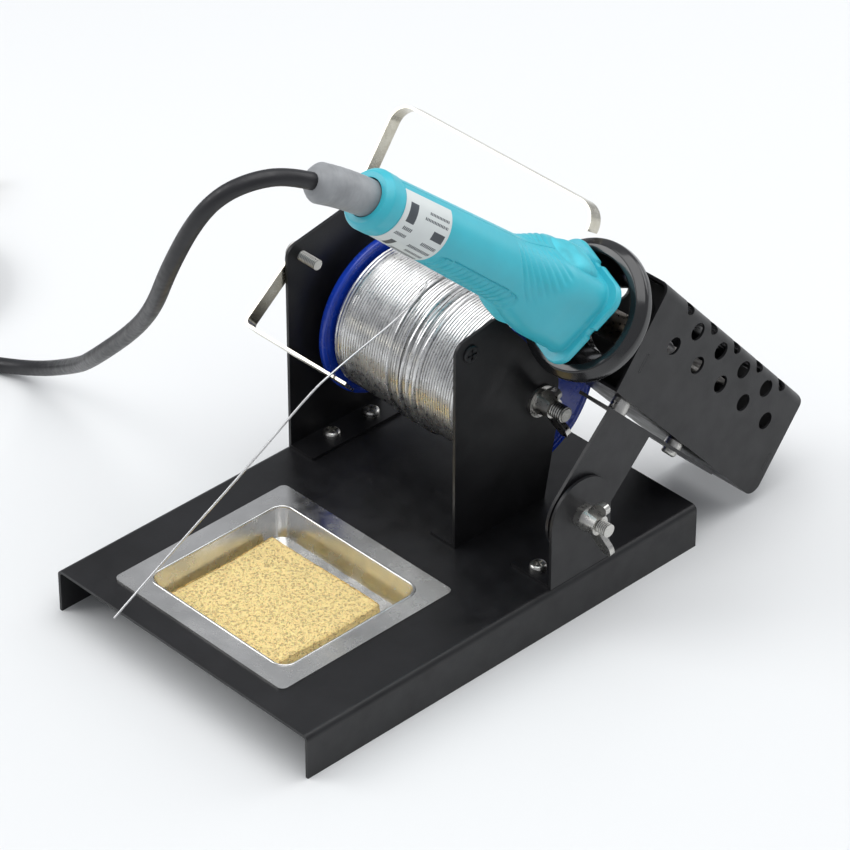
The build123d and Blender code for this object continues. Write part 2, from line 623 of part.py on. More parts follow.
floor_under = Plane(origin=guard_plane(0).origin, z_dir=guard_plane(0).y_dir)
floor_over = floor_under.offset(THIN)
with BuildPart() as shelf_spacers:
    for along in shelf_screws_at:
        with BuildSketch(shelf_axis(along, 0)):
            Circle(3.4)
            Circle(1.6, mode=Mode.SUBTRACT)
        extrude(amount=12.0)
    split(bisect_by=floor_under, keep=Keep.BOTTOM)
with BuildPart() as shelf_screws:
    for along in shelf_screws_at:
        under = shelf_axis(along, -SHEET)
        add(pan_screw(Plane(under.origin, x_dir=(1, 0, 0), z_dir=under.z_dir * -1), 1.5, 13.0, 2.9, 2.0))
with BuildPart() as shelf_nuts:
    for along in shelf_screws_at:
        add(hex_nut(shelf_axis(along, 0), 5.5, 10.2, 1.5))
    split(bisect_by=floor_over, keep=Keep.TOP)

# ---------------------------------------------------------------- collar that takes the iron's nose
with BuildPart() as collar:
    with BuildSketch(Plane.XZ):
        with BuildLine():
            back = -PLATE_SET * cos(radians(MOUTH_LEAN)) + THIN / 2
            reach, lip = COLLAR_REACH, COLLAR_R
            Polyline(
                (COLLAR_BORE, back - THIN - 3.0), (COLLAR_BORE + 2.0 - FIT, back - THIN - 3.0),
                (COLLAR_BORE + 2.0 - FIT, back), (16.4, back), (16.6, 0.5), (lip - 3.4, reach - 8.2),
                (lip - 1.0, reach - 6.0),
            )
            ThreePointArc(
                (lip - 1.0, reach - 6.0), (lip - 0.2, reach - 2.9), (lip - 2.8, reach - 0.9)
            )
            Polyline((lip - 2.8, reach - 0.9), (COLLAR_OPENING + 0.8, reach), (COLLAR_OPENING, reach - 0.9),
                     (COLLAR_OPENING - 1.0, reach - 8.0), (COLLAR_BORE, back + 1.0), (COLLAR_BORE, back - THIN - 3.0))
        make_face()
    revolve(axis=Axis.Z)
collar.part.locate(Location(mouth_plane(0)))

# ---------------------------------------------------------------- iron
tip_way = Vector(
    sin(radians(IRON_YAW)) * cos(radians(IRON_PITCH)),
    cos(radians(IRON_YAW)) * cos(radians(IRON_PITCH)),
    -sin(radians(IRON_PITCH)),
)
level = Vector(cos(radians(IRON_YAW)), -sin(radians(IRON_YAW)), 0)
upward = level.cross(tip_way)
seam = upward * cos(radians(IRON_ROLL)) + level * sin(radians(IRON_ROLL))
iron = Plane(
    origin=mouth_plane(IRON_STANDOFF).origin + Vector(IRON_SHIFT, 0, 0), x_dir=seam, z_dir=tip_way * -1
)
seam_plane = Plane(origin=iron.origin, x_dir=iron.z_dir, z_dir=iron.y_dir)


def turned(outline):
    """Solid of revolution about the iron's axis; outline in (radius, distance behind the flange)."""
    with BuildPart(mode=Mode.PRIVATE) as piece:
        with BuildSketch(Plane.XZ):
            with BuildLine():
                Polyline(*outline, close=True)
            make_face()
        revolve(axis=Axis.Z)
    return piece.part.locate(Location(iron))


def handle_outside():
    sections = [
        (HANDLE_FLANGE, NOSE_SIDE, 7.0), (NOSE_END, NOSE_SIDE + 0.6, 9.0),
        (NOSE_TAPER, 2 * GRIP_R + 0.2, GRIP_R), (GRIP_END, 2 * GRIP_END_R + 0.2, GRIP_END_R),
    ]
    with BuildPart(mode=Mode.PRIVATE) as body:
        with BuildSketch(iron):
            RectangleRounded(FLANGE_SIDE, FLANGE_SIDE, 7.0)
        extrude(amount=HANDLE_FLANGE)
        for near, far in zip(sections, sections[1:]):
            for distance, side, corner in (near, far):
                with BuildSketch(iron.offset(distance)):
                    RectangleRounded(side, side, corner)
            loft()
    return body.part


outside = handle_outside()
cavity = turned([(0, HANDLE_FLANGE + 3), (GRIP_END_R - HANDLE_WALL, HANDLE_FLANGE + 3),
                 (GRIP_END_R - HANDLE_WALL, GRIP_END + 1), (0, GRIP_END + 1)])
nose_bore = turned([(0, -1), (BARREL_R, -1), (BARREL_R, HANDLE_FLANGE + 4), (0, HANDLE_FLANGE + 4)])

with BuildPart() as handle_shell_left:
    add(outside)
    add(cavity, mode=Mode.SUBTRACT)
    add(nose_bore, mode=Mode.SUBTRACT)
    split(bisect_by=seam_plane, keep=Keep.TOP)
with BuildPart() as handle_shell_right:
    add(outside)
    add(cavity, mode=Mode.SUBTRACT)
    add(nose_bore, mode=Mode.SUBTRACT)
    split(bisect_by=seam_plane, keep=Keep.BOTTOM)


def thumb_pad(side, outline, width):
    """Soft insert that stands proud of the handle's nose on one side of the seam."""
    plane = Plane(origin=iron.origin, x_dir=iron.x_dir * side, z_dir=iron.y_dir * -side)
    with BuildPart(mode=Mode.PRIVATE) as pad:
        with BuildSketch(plane):
            with BuildLine():
                Spline(*outline)
                Line(outline[-1], outline[0])
            make_face()
        extrude(amount=width / 2, both=True)
        add(outside, mode=Mode.SUBTRACT)
    return pad.part.solids().sort_by(SortBy.VOLUME)[-1]


with BuildPart() as thumb_pad_top:
    add(thumb_pad(1, [(14.6, 5.0), (18.4, 10.5), (18.2, 18.0), (15.4, 26.0), (13.0, 33.0)], 15.0))
with BuildPart() as thumb_pad_bottom:
    add(thumb_pad(-1, [(13.0, 20.0), (16.4, 26.0), (15.2, 33.0), (12.4, 40.0)], 13.0))

label_from, label_to = 80.0, GRIP_END - 0.5
label_start, label_sweep = -165.0, 150.0
with BuildPart() as label:
    with BuildSketch(iron.offset(label_from)):
        Circle(GRIP_R + 0.1)
        with BuildLine():
            wide = 30.0
            angles = [label_start + label_sweep * share for share in (0, 0.5, 1)]
            Polyline((0, 0), *[(wide * cos(radians(a)), wide * sin(radians(a))) for a in angles], close=True)
        make_face(mode=Mode.INTERSECT)
    extrude(amount=label_to - label_from)
    add(outside, mode=Mode.SUBTRACT)
    add(turned([(GRIP_R - 0.35, label_from - 1), (GRIP_R + 3, label_from - 1), (GRIP_R + 3, label_to + 1),
                (GRIP_END_R + 0.3, label_to + 1)]), mode=Mode.SUBTRACT)

with BuildPart() as rear_collar:
    add(turned([(6.9, GRIP_END), (GRIP_END_R + 0.3, GRIP_END), (GRIP_END_R + 0.4, HANDLE_END - 2.5),
                (GRIP_END_R - 1.4, HANDLE_END), (6.9, HANDLE_END)]))

boot_way = Vector(-0.16, -0.85, 0.5).normalized()
boot_length = 24.0
boot_root = iron.from_local_coords((0, 0, GRIP_END + 1.0))
boot_mouth = iron.from_local_coords((0, 0, HANDLE_END))
boot_mid = boot_mouth + (iron.z_dir + boot_way).normalized() * (boot_length * 0.5)
boot_end = boot_mid + boot_way * (boot_length * 0.5)
with BuildPart() as strain_boot:
    with BuildSketch(Plane(boot_root, x_dir=iron.x_dir, z_dir=iron.z_dir)):
        Circle(6.8)
    with BuildSketch(Plane(boot_mouth, x_dir=iron.x_dir, z_dir=iron.z_dir)):
        Circle(6.8)
    loft()
    with BuildSketch(Plane(boot_mouth, x_dir=iron.x_dir, z_dir=iron.z_dir)):
        Circle(6.8)
    with BuildSketch(Plane(boot_mid, x_dir=iron.x_dir, z_dir=iron.z_dir + boot_way)):
        Circle(6.5)
    with BuildSketch(Plane(boot_end, x_dir=iron.x_dir, z_dir=boot_way)):
        Circle(6.0)
    loft()

with BuildPart() as barrel_nut:
    add(turned([(3.4, -0.05), (7.4, -0.05), (7.4, -7.0), (6.4, -8.2), (3.4, -8.2)]))
    add(turned([(0, 0), (BARREL_R, 0), (BARREL_R, -9), (0, -9)]), mode=Mode.SUBTRACT)
with BuildPart() as heater_barrel:
    add(turned([
        (3.9, HANDLE_FLANGE + 12), (BARREL_R, HANDLE_FLANGE + 12), (BARREL_R, -BARREL_END + 6),
        (4.2, -BARREL_END), (TIP_R + FIT, -BARREL_END), (TIP_R + FIT, -BARREL_END + 5), (3.9, -BARREL_END + 8),
    ]))
with BuildPart() as heating_element:
    add(turned([(0, HANDLE_FLANGE + 30), (3.4, HANDLE_FLANGE + 30), (3.4, -30), (0, -30)]))
with BuildPart() as tip:
    add(turned([(0, -31), (TIP_R, -31), (TIP_R, -BARREL_END - 22), (2.2, -BARREL_END - 27), (0.35, -TIP_END + 0.4),
                (0, -TIP_END)]))
with BuildPart() as terminal_block:
    with BuildSketch(iron.offset(HANDLE_FLANGE + 33)):
        Rectangle(9.0, 8.0)
    extrude(amount=16.0)

# ---------------------------------------------------------------- cord: tube to the coil, coil, end and plug
coil_half = COIL_TURNS_WIDE * CORD_R
coil_out, coil_in = COIL_MID_R + coil_half, COIL_MID_R - coil_half
coil_high = COIL_TURNS_HIGH * 2 * CORD_R
cord_points = [
    tuple(boot_end + boot_way * FIT),
    tuple(boot_end + boot_way * 11.0),
    (18.5, -72.6, 207.2),
    (12.2, -81.4, 202.3),
    (4.9, -86.4, 190.5),
    (-6.7, -87.6, 168.0),
    (-24.0, -80.0, 141.5),
    (-53.0, -65.5, 111.0),
    (-90.0, -54.0, 76.0),
    (-142.0, -20.0, 31.0),
    (-184.0, -9.0, 3.1),
    (-212.0, -26.0, 3.1),
    (-238.0, -46.0, 3.1),
    (-263.0, -56.6, 3.1),
]


def corner_radii(points):
    """Fillet radius for each corner: as large as its two runs allow."""
    corners = [Vector(*p) for p in points]
    radii = []
    for before, at, after in zip(corners, corners[1:], corners[2:]):
        run = min((at - before).length, (after - at).length)
        turn = (at - before).get_angle(after - at)
        radii.append(0.45 * run / tan(radians(turn / 2)))
    return radii


def cord_length(points):
    corners = [Vector(*p) for p in points]
    return sum((b - a).length for a, b in zip(corners, corners[1:]))


cord_radii = corner_radii(cord_points)
with BuildPart() as cord_tube:
    with BuildLine() as cord_line:
        FilletPolyline(*cord_points, radius=cord_radii)
    with BuildSketch(Plane(cord_line.line @ 0, z_dir=cord_line.line % 0)):
        Circle(CORD_R)
    sweep()

with BuildPart() as cord_coil:
    with BuildSketch(Plane.XY.offset(0.1)):
        with Locations((COIL_X, COIL_Y)):
            Circle(coil_out)
            Circle(coil_in, mode=Mode.SUBTRACT)
    extrude(amount=coil_high)
    fillet(cord_coil.edges().filter_by(GeomType.CIRCLE), CORD_R - 0.2)

end_x = COIL_X - coil_out + CORD_R
end_points = [(end_x, COIL_Y, CORD_R + 0.2), (end_x - 2.0, COIL_Y + 10.0, 4.6), (end_x - 2.0, COIL_Y + 22.0, 7.6)]
with BuildPart() as cord_end:
    with BuildLine() as end_line:
        FilletPolyline(*end_points, radius=corner_radii(end_points))
    with BuildSketch(Plane(end_line.line @ 0, z_dir=end_line.line % 0)):
        Circle(CORD_R)
    sweep()
    add(cord_coil.part, mode=Mode.SUBTRACT)

plug_y = end_points[-1][1] + 4.0
with BuildPart() as plug_body:
    plug_root = plug_y - 3.0
    with BuildSketch(Plane(origin=(end_x - 2.0, plug_root, 7.6), x_dir=(1, 0, 0), z_dir=(0, 1, 0))):
        Circle(4.4)
    with BuildSketch(Plane(origin=(end_x - 2.0, plug_y + 14.0, 7.6), x_dir=(1, 0, 0), z_dir=(0, 1, 0))):
        RectangleRounded(20.0, 13.0, 6.0)
    loft()
    with BuildSketch(Plane(origin=(end_x - 2.0, plug_y + 14.0, 7.6), x_dir=(1, 0, 0), z_dir=(0, 1, 0))):
        RectangleRounded(20.0, 13.0, 6.0)
    with BuildSketch(Plane(origin=(end_x - 2.0, plug_y + 33.0, 7.6), x_dir=(1, 0, 0), z_dir=(0, 1, 0))):
        RectangleRounded(34.0, 14.6, 6.6)
    loft()
with BuildPart() as plug_pins:
    with BuildSketch(Plane(origin=(end_x - 2.0, plug_y + 33.0, 7.6), x_dir=(1, 0, 0), z_dir=(0, 1, 0))):
        with Locations((-9.5, 0), (9.5, 0)):
            Circle(2.0)
    extrude(amount=19.0)
    fillet(plug_pins.faces().sort_by(Axis.Y)[-2:].edges(), 1.6)

# ---------------------------------------------------------------- output
pieces = {
    "base_plate": base_plate, "sponge_tray": sponge_tray, "sponge": sponge,
    "left_upright": left_upright, "right_upright": right_upright,
    "upright_screws": upright_screws, "upright_nuts": upright_nuts,
    "axle_rod": axle_rod, "axle_sleeve": axle_sleeve, "axle_nut": axle_nut, "axle_washer": axle_washer,
    "axle_wing_nut": axle_wing_nut, "reel": reel, "solder_winding": solder_winding, "solder_tail": solder_tail,
    "wire_guide": wire_guide, "guide_bolt": guide_bolt,
    "bail": bail, "bail_bolt": bail_bolt, "bail_spacer": bail_spacer, "plate_screw": plate_screw,
    "wing_bracket": wing_bracket, "bracket_screws": bracket_screws, "bracket_nuts": bracket_nuts,
    "pivot_washer": pivot_washer, "pivot_bolt": pivot_bolt, "pivot_nut": pivot_nut, "pivot_wing_nut": pivot_wing_nut,
    "holder_arm": holder_arm, "guard_shell": guard_shell, "guard_floor": guard_floor,
    "front_plate": front_plate, "rear_plate": rear_plate, "collar": collar,
    "shelf_spacers": shelf_spacers, "shelf_screws": shelf_screws, "shelf_nuts": shelf_nuts,
    "handle_shell_left": handle_shell_left, "handle_shell_right": handle_shell_right,
    "thumb_pad_top": thumb_pad_top, "thumb_pad_bottom": thumb_pad_bottom, "label": label,
    "rear_collar": rear_collar, "strain_boot": strain_boot,
    "barrel_nut": barrel_nut, "heater_barrel": heater_barrel, "heating_element": heating_element, "tip": tip,
    "terminal_block": terminal_block,
    "cord_tube": cord_tube, "cord_coil": cord_coil, "cord_end": cord_end,
    "plug_body": plug_body, "plug_pins": plug_pins,
}
cord_pieces = ("cord_tube", "cord_coil", "cord_end", "plug_body", "plug_pins")

# the origin moves to the middle of everything but the cord, on the table
box = Compound([piece.part for name, piece in pieces.items() if name not in cord_pieces]).bounding_box()
shift_x, shift_y = round(box.center().X, 1), round(box.center().Y, 1)
for name, piece in pieces.items():
    piece.part.move(Location((-shift_x, -shift_y, 0)))
    save(piece, name)

print("shift", shift_x, shift_y)
print("reel middle x", round((reel_x0 + reel_x1) / 2, 3), "holder x", round(GUARD_MID, 3))
print("guide x", guide_out, "bail x", bail_out, "bracket out", BRACKET_OUT, "right out", RIGHT_OUT)
print("iron", [round(v, 4) for v in iron.origin], [round(v, 5) for v in iron.z_dir], [round(v, 5) for v in iron.x_dir])
print("mouth", [round(v, 4) for v in mouth_plane(0).origin], [round(v, 5) for v in mouth_plane(0).z_dir])
print("box", box)
print("boot end", [round(v, 2) for v in boot_end])
print("cord radii", [round(r, 1) for r in cord_radii])
print("cord runs", round(cord_length(cord_points), 1), "mm, tube", round(cord_line.wires()[0].length, 1), "mm")
print("tube volume over section", round(cord_tube.part.volume / (pi * CORD_R**2), 1), "mm")
print("coil turns", round(pi * 2 * COIL_MID_R * COIL_TURNS_WIDE * COIL_TURNS_HIGH, 1), "mm")
print("solder leaves the winding at", round(degrees(leave), 1), "degrees")
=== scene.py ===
"""Soldering iron station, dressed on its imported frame.

Adds the finishes, wound solder, moulded handle, cord and stage. Lengths are in millimetres unless said."""

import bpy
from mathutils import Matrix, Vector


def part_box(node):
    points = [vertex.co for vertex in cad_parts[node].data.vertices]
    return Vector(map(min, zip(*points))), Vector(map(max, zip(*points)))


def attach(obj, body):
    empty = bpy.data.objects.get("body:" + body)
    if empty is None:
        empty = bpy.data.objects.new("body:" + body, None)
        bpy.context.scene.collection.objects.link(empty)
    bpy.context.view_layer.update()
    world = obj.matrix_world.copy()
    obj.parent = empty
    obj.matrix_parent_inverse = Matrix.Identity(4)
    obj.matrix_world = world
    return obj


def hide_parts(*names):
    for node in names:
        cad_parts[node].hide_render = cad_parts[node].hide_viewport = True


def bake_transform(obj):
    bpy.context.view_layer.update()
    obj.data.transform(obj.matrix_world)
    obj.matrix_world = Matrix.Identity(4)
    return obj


bl_info = {
    "name": "Soldering Iron Station",
    "version": (1, 0, 0),
    "blender": (4, 5, 0),
    "location": "View3D > Sidebar > Station",
    "description": "Builds the pieces, finishes, cord, lights and camera of a soldering iron station",
    "category": "Add Mesh",
}

from math import atan2, cos, degrees, floor, hypot, pi, radians, sin, sqrt

import bmesh
import bpy
from mathutils import Matrix, Vector, noise

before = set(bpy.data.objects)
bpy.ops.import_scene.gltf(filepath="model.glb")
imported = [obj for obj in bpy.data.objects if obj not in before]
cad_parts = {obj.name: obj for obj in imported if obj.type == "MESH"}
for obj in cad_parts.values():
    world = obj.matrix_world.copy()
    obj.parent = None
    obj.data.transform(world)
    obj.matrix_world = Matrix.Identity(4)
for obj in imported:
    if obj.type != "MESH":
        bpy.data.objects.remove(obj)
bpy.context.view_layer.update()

MM = 0.001

# Places on the frame, in millimetres from its origin
REEL_MIDDLE = Vector((-22.45, 30.0, 62.0))
MOUTH_MIDDLE = Vector((40.0, 41.0101, 102.0788))
MOUTH_OUT = Vector((0.0, -0.78586, 0.61841))
HANDLE_FRONT = Vector((38.35, 25.0573, 114.6325))
HANDLE_BACK = Vector((-0.11806, -0.74542, 0.65606))
HANDLE_SEAM = Vector((0.31562, 0.59825, 0.73653))
BOOT_WAY = Vector((-0.1601, -0.8508, 0.5005))
BOOT_END = Vector((21.53, -78.26, 201.09))
COIL_MIDDLE = Vector((-274.4, -37.0, 0.0))
CORD_REST = 3.1  # height of the cord's middle where it lies on the table
CORD_LANDING = Vector((-187.4, -35.0, CORD_REST))

# Sizes of the dressed pieces, in millimetres
REEL_HALF = 38.35  # half the reel's length
REEL_BORE = 6.2
BARREL_RADIUS = 15.0
RIM_RADIUS = 32.6
WINDING_LENGTH = 69.4
CORE_RADIUS = 27.9
WINDING_RADIUS = 28.15  # to the middle of the outer layer's wire
FLANGE_THICKNESS = 3.0
FLANGE_HALF = 18.0
FLANGE_CORNER = 7.0
HANDLE_REAR = 104.0  # end of the moulded body behind the flange's front
RING_REAR = 112.0
LABEL_FRONT = 80.0
LABEL_WIDTH = 23.4

# The cord's coil winds inwards on the table, climbs, and winds outwards on top, in degrees turned
COIL_RADIUS = 42.2
COIL_PITCH = 6.2
COIL_START = -92.0
COIL_STEP = 30.0
COIL_INWARD = 1080.0
COIL_OUTWARD = 1140.0
COIL_LAST = 2100.0
COIL_TURNED = 2260.0
COIL_SWEPT = 2248.0
COIL_CLIMB = 6.25
COIL_LAST_RADIUS = 40.8
SPLINE_SHARE = 0.966  # a spline's radius over that of its control points, which stand a step apart

# Camera, in metres
CAMERA_PLACE = Vector((0.93016, -0.89883, 0.96859))
CAMERA_RIGHT = Vector((0.692, 0.722, 0.0))
CAMERA_UP = Vector((-0.4166, 0.3993, 0.8177))
CAMERA_LENS = 189.6


# ------------------------------------------------------------------ settings
class StationSizes(bpy.types.PropertyGroup):
    """Sizes of the dressed pieces"""

    cord_diameter: bpy.props.FloatProperty(
        name="Cord diameter", description="Outside diameter of the rubber cord",
        default=0.006, min=0.004, max=0.008, subtype="DISTANCE", unit="LENGTH")
    wire_diameter: bpy.props.FloatProperty(
        name="Solder diameter", description="Diameter of the solder wire wound on the reel",
        default=0.0012, min=0.0008, max=0.002, subtype="DISTANCE", unit="LENGTH")
    rib_depth: bpy.props.FloatProperty(
        name="Rib depth", description="Depth of the thumb arcs and finger ribs in the handle",
        default=0.0005, min=0.0, max=0.001, subtype="DISTANCE", unit="LENGTH")
    pore_size: bpy.props.FloatProperty(
        name="Pore size", description="Width of the sponge's larger pores",
        default=0.0013, min=0.001, max=0.004, subtype="DISTANCE", unit="LENGTH")


class StationColours(bpy.types.PropertyGroup):
    """Colours of the station's finishes, scene linear"""

    coat: bpy.props.FloatVectorProperty(
        name="Powder coat", description="Colour of the folded steel's powder coat",
        default=(0.0075, 0.0075, 0.0085), size=3, min=0.0, max=1.0, subtype="COLOR")
    handle: bpy.props.FloatVectorProperty(
        name="Handle", description="Colour of the moulded handle",
        default=(0.045, 0.46, 0.56), size=3, min=0.0, max=1.0, subtype="COLOR")
    inserts: bpy.props.FloatVectorProperty(
        name="Inserts", description="Colour of the soft inserts in the handle",
        default=(0.060, 0.50, 0.60), size=3, min=0.0, max=1.0, subtype="COLOR")
    reel: bpy.props.FloatVectorProperty(
        name="Reel", description="Colour of the moulded solder reel",
        default=(0.008, 0.045, 0.42), size=3, min=0.0, max=1.0, subtype="COLOR")
    sponge: bpy.props.FloatVectorProperty(
        name="Sponge", description="Colour of the dry cleaning sponge",
        default=(0.90, 0.68, 0.29), size=3, min=0.0, max=1.0, subtype="COLOR")
    stage: bpy.props.FloatVectorProperty(
        name="Stage", description="Colour of the pale floor",
        default=(0.80, 0.81, 0.81), size=3, min=0.0, max=1.0, subtype="COLOR")


# ------------------------------------------------------------------ finishes
class Finish:
    """A material whose nodes are laid over object coordinates, in metres"""

    def __init__(self, name, colour, roughness, metallic=0.0, **sockets):
        self.material = bpy.data.materials.new(name)
        self.material.use_nodes = True
        self.tree = self.material.node_tree
        self.shader = self.tree.nodes["Principled BSDF"]
        self.colour = (*colour, 1.0)
        self.shader.inputs["Base Color"].default_value = self.colour
        self.shader.inputs["Roughness"].default_value = roughness
        self.shader.inputs["Metallic"].default_value = metallic
        for socket, value in sockets.items():
            self.shader.inputs[socket.replace("_", " ")].default_value = value
        self.place = self.tree.nodes.new("ShaderNodeTexCoord").outputs["Object"]
        self.last_bump = None

    def node(self, kind, links=(), **values):
        made = self.tree.nodes.new(kind)
        for key, value in values.items():
            if hasattr(made, key):
                setattr(made, key, value)
            else:
                made.inputs[key.replace("_", " ")].default_value = value
        for socket, source in links:
            self.tree.links.new(source, made.inputs[socket])
        return made

    def stretched(self, scale):
        return self.node("ShaderNodeMapping", [("Vector", self.place)], Scale=scale).outputs["Vector"]

    def grain(self, scale, detail=4.0, place=None):
        made = self.node("ShaderNodeTexNoise", [("Vector", place or self.place)], Scale=scale, Detail=detail)
        return made.outputs["Fac"]

    def vary_roughness(self, source, low, high):
        spread = self.node("ShaderNodeMapRange", [("Value", source)], From_Min=0.3, From_Max=0.7,
                           To_Min=low, To_Max=high)
        self.tree.links.new(spread.outputs["Result"], self.shader.inputs["Roughness"])

    def vary_colour(self, source, stops):
        ramp = self.node("ShaderNodeValToRGB", [("Fac", source)])
        band = ramp.color_ramp
        while len(band.elements) < len(stops):
            band.elements.new(0.5)
        for element, (at, colour) in zip(band.elements, stops):
            element.position = at
            element.color = (*colour, 1.0)
        self.tree.links.new(ramp.outputs["Color"], self.shader.inputs["Base Color"])

    def raise_bump(self, source, strength, distance, invert=False):
        links = [("Height", source)]
        if self.last_bump:
            links.append(("Normal", self.last_bump))
        bump = self.node("ShaderNodeBump", links, Strength=strength, Distance=distance, invert=invert)
        self.last_bump = bump.outputs["Normal"]
        self.tree.links.new(self.last_bump, self.shader.inputs["Normal"])


def tinted(colour, amount):
    return tuple(min(1.0, channel * amount) for channel in colour)


def powder_coat(colour):
    finish = Finish("black powder coat", colour, 0.4, Specular_IOR_Level=0.36, Coat_Weight=0.06,
                    Coat_Roughness=0.25)
    finish.vary_colour(finish.grain(60.0, 6.0), [(0.35, tinted(colour, 0.8)), (0.7, tinted(colour, 1.5))])
    finish.vary_roughness(finish.grain(130.0, 3.0), 0.33, 0.48)
    finish.raise_bump(finish.grain(1500.0, 2.0), 0.22, 0.00012)
    return finish.material


def rolled_tinplate():
    finish = Finish("rolled tinplate", (0.70, 0.70, 0.69), 0.3, 1.0)
    finish.vary_colour(finish.grain(45.0, 5.0), [(0.3, (0.60, 0.60, 0.585)), (0.7, (0.79, 0.785, 0.77))])
    finish.vary_roughness(finish.grain(160.0, 6.0), 0.16, 0.32)
    finish.raise_bump(finish.grain(1.0, 3.0, finish.stretched((1400.0, 60.0, 1400.0))), 0.05, 0.00003)
    finish.raise_bump(finish.grain(70.0, 1.0), 0.12, 0.0006)
    return finish.material


def plated_steel(name, colour, low, high):
    finish = Finish(name, colour, low, 1.0)
    finish.vary_colour(finish.grain(220.0, 4.0), [(0.3, tinted(colour, 0.82)), (0.7, tinted(colour, 1.08))])
    finish.vary_roughness(finish.grain(700.0, 3.0), low, high)
    finish.raise_bump(finish.grain(2500.0, 2.0), 0.10, 0.00004)
    return finish.material


def cut_threads(name, colour, pitch):
    """Plated steel with threads cut round an axis along X, their roots painted darker as painted shade"""
    finish = Finish(name, colour, 0.3, 1.0)
    finish.vary_roughness(finish.grain(700.0, 3.0), 0.24, 0.38)
    waves = finish.node("ShaderNodeTexWave", [("Vector", finish.place)], Scale=2 * pi / pitch / 20.0,
                        bands_direction="X", wave_profile="TRI")
    # painted shade: the thread roots, low on the waves, are painted darker than the crests
    finish.vary_colour(waves.outputs["Fac"], [(0.0, tinted(colour, 0.28)), (0.6, colour)])
    finish.raise_bump(waves.outputs["Fac"], 0.9, pitch * 0.5)
    return finish.material


def polished_strip():
    colour = (0.60, 0.58, 0.51)
    finish = Finish("polished strip", colour, 0.2, 1.0)
    finish.vary_colour(finish.grain(90.0, 4.0), [(0.3, (0.46, 0.43, 0.34)), (0.7, (0.70, 0.68, 0.61))])
    finish.vary_roughness(finish.grain(1.0, 5.0, finish.stretched((60.0, 1500.0, 1500.0))), 0.14, 0.30)
    finish.raise_bump(finish.grain(1.0, 3.0, finish.stretched((50.0, 2200.0, 2200.0))), 0.10, 0.00004)
    return finish.material


def moulded_plastic(name, colour, low, high, speckle=1.08, **sockets):
    finish = Finish(name, colour, low, **sockets)
    finish.vary_colour(finish.grain(80.0, 5.0),
                       [(0.3, tinted(colour, 2 - speckle)), (0.7, tinted(colour, speckle))])
    finish.vary_roughness(finish.grain(300.0, 4.0), low, high)
    finish.raise_bump(finish.grain(1800.0, 2.0), 0.10, 0.00006)
    finish.raise_bump(finish.grain(90.0, 1.0), 0.05, 0.0004)
    return finish.material


def soft_rubber(name, colour, roughness, grain=1600.0, **sockets):
    finish = Finish(name, colour, roughness, **sockets)
    finish.vary_colour(finish.grain(140.0, 5.0), [(0.3, tinted(colour, 0.85)), (0.7, tinted(colour, 1.2))])
    finish.vary_roughness(finish.grain(400.0, 4.0), roughness - 0.08, roughness + 0.08)
    finish.raise_bump(finish.grain(grain, 3.0), 0.25, 0.0001)
    return finish.material


def cellulose_sponge(colour, pore):
    finish = Finish("cellulose sponge", colour, 0.95, Sheen_Weight=0.15, Subsurface_Weight=0.12,
                    Subsurface_Scale=0.002)
    warp = finish.node("ShaderNodeTexNoise", [("Vector", finish.place)], Scale=350.0, Detail=3.0)
    moved = finish.node("ShaderNodeVectorMath", [(0, warp.outputs["Color"])], operation="SCALE")
    moved.inputs["Scale"].default_value = 0.0022
    place = finish.node("ShaderNodeVectorMath", [(0, finish.place), (1, moved.outputs["Vector"])],
                        operation="ADD")
    heights = []
    for scale, edge in ((1.0 / pore, 0.42), (2.6 / pore, 0.38)):
        cells = finish.node("ShaderNodeTexVoronoi", [("Vector", place.outputs["Vector"])], Scale=scale)
        wall = finish.node("ShaderNodeMapRange", [("Value", cells.outputs["Distance"])], From_Min=0.12,
                           From_Max=edge, To_Min=0.0, To_Max=1.0)
        heights.append(wall.outputs["Result"])
    both = finish.node("ShaderNodeMath", [(0, heights[0]), (1, heights[1])], operation="MULTIPLY")
    # painted shade: the pore hollows are painted darker and the walls between them lighter, following the
    # bump's height
    finish.vary_colour(both.outputs["Value"], [(0.0, tinted(colour, 0.66)), (0.35, tinted(colour, 0.92)),
                                               (1.0, tinted(colour, 1.12))])
    finish.raise_bump(both.outputs["Value"], 0.75, 0.0009)
    finish.raise_bump(finish.grain(2200.0, 3.0), 0.3, 0.00015)
    return finish.material


def drawn_solder():
    colour = (0.74, 0.745, 0.75)
    finish = Finish("drawn solder", colour, 0.28, 1.0)
    finish.vary_colour(finish.grain(160.0, 5.0), [(0.3, (0.60, 0.60, 0.60)), (0.72, (0.78, 0.78, 0.775))])
    finish.vary_roughness(finish.grain(500.0, 4.0), 0.2, 0.42)
    finish.raise_bump(finish.grain(1500.0, 2.0), 0.12, 0.00006)
    return finish.material


def heat_tinted_steel():
    finish = Finish("heat tinted steel", (0.55, 0.52, 0.48), 0.3, 1.0)
    finish.vary_colour(finish.grain(38.0, 5.0),
                       [(0.3, (0.42, 0.33, 0.24)), (0.5, (0.58, 0.55, 0.50)), (0.75, (0.40, 0.40, 0.46))])
    finish.vary_roughness(finish.grain(600.0, 3.0), 0.24, 0.42)
    return finish.material


def pale_floor(colour):
    finish = Finish("pale floor", colour, 0.75)
    finish.vary_colour(finish.grain(3.0, 2.0), [(0.3, tinted(colour, 0.985)), (0.7, tinted(colour, 1.0))])
    finish.raise_bump(finish.grain(700.0, 2.0), 0.03, 0.0001)
    return finish.material


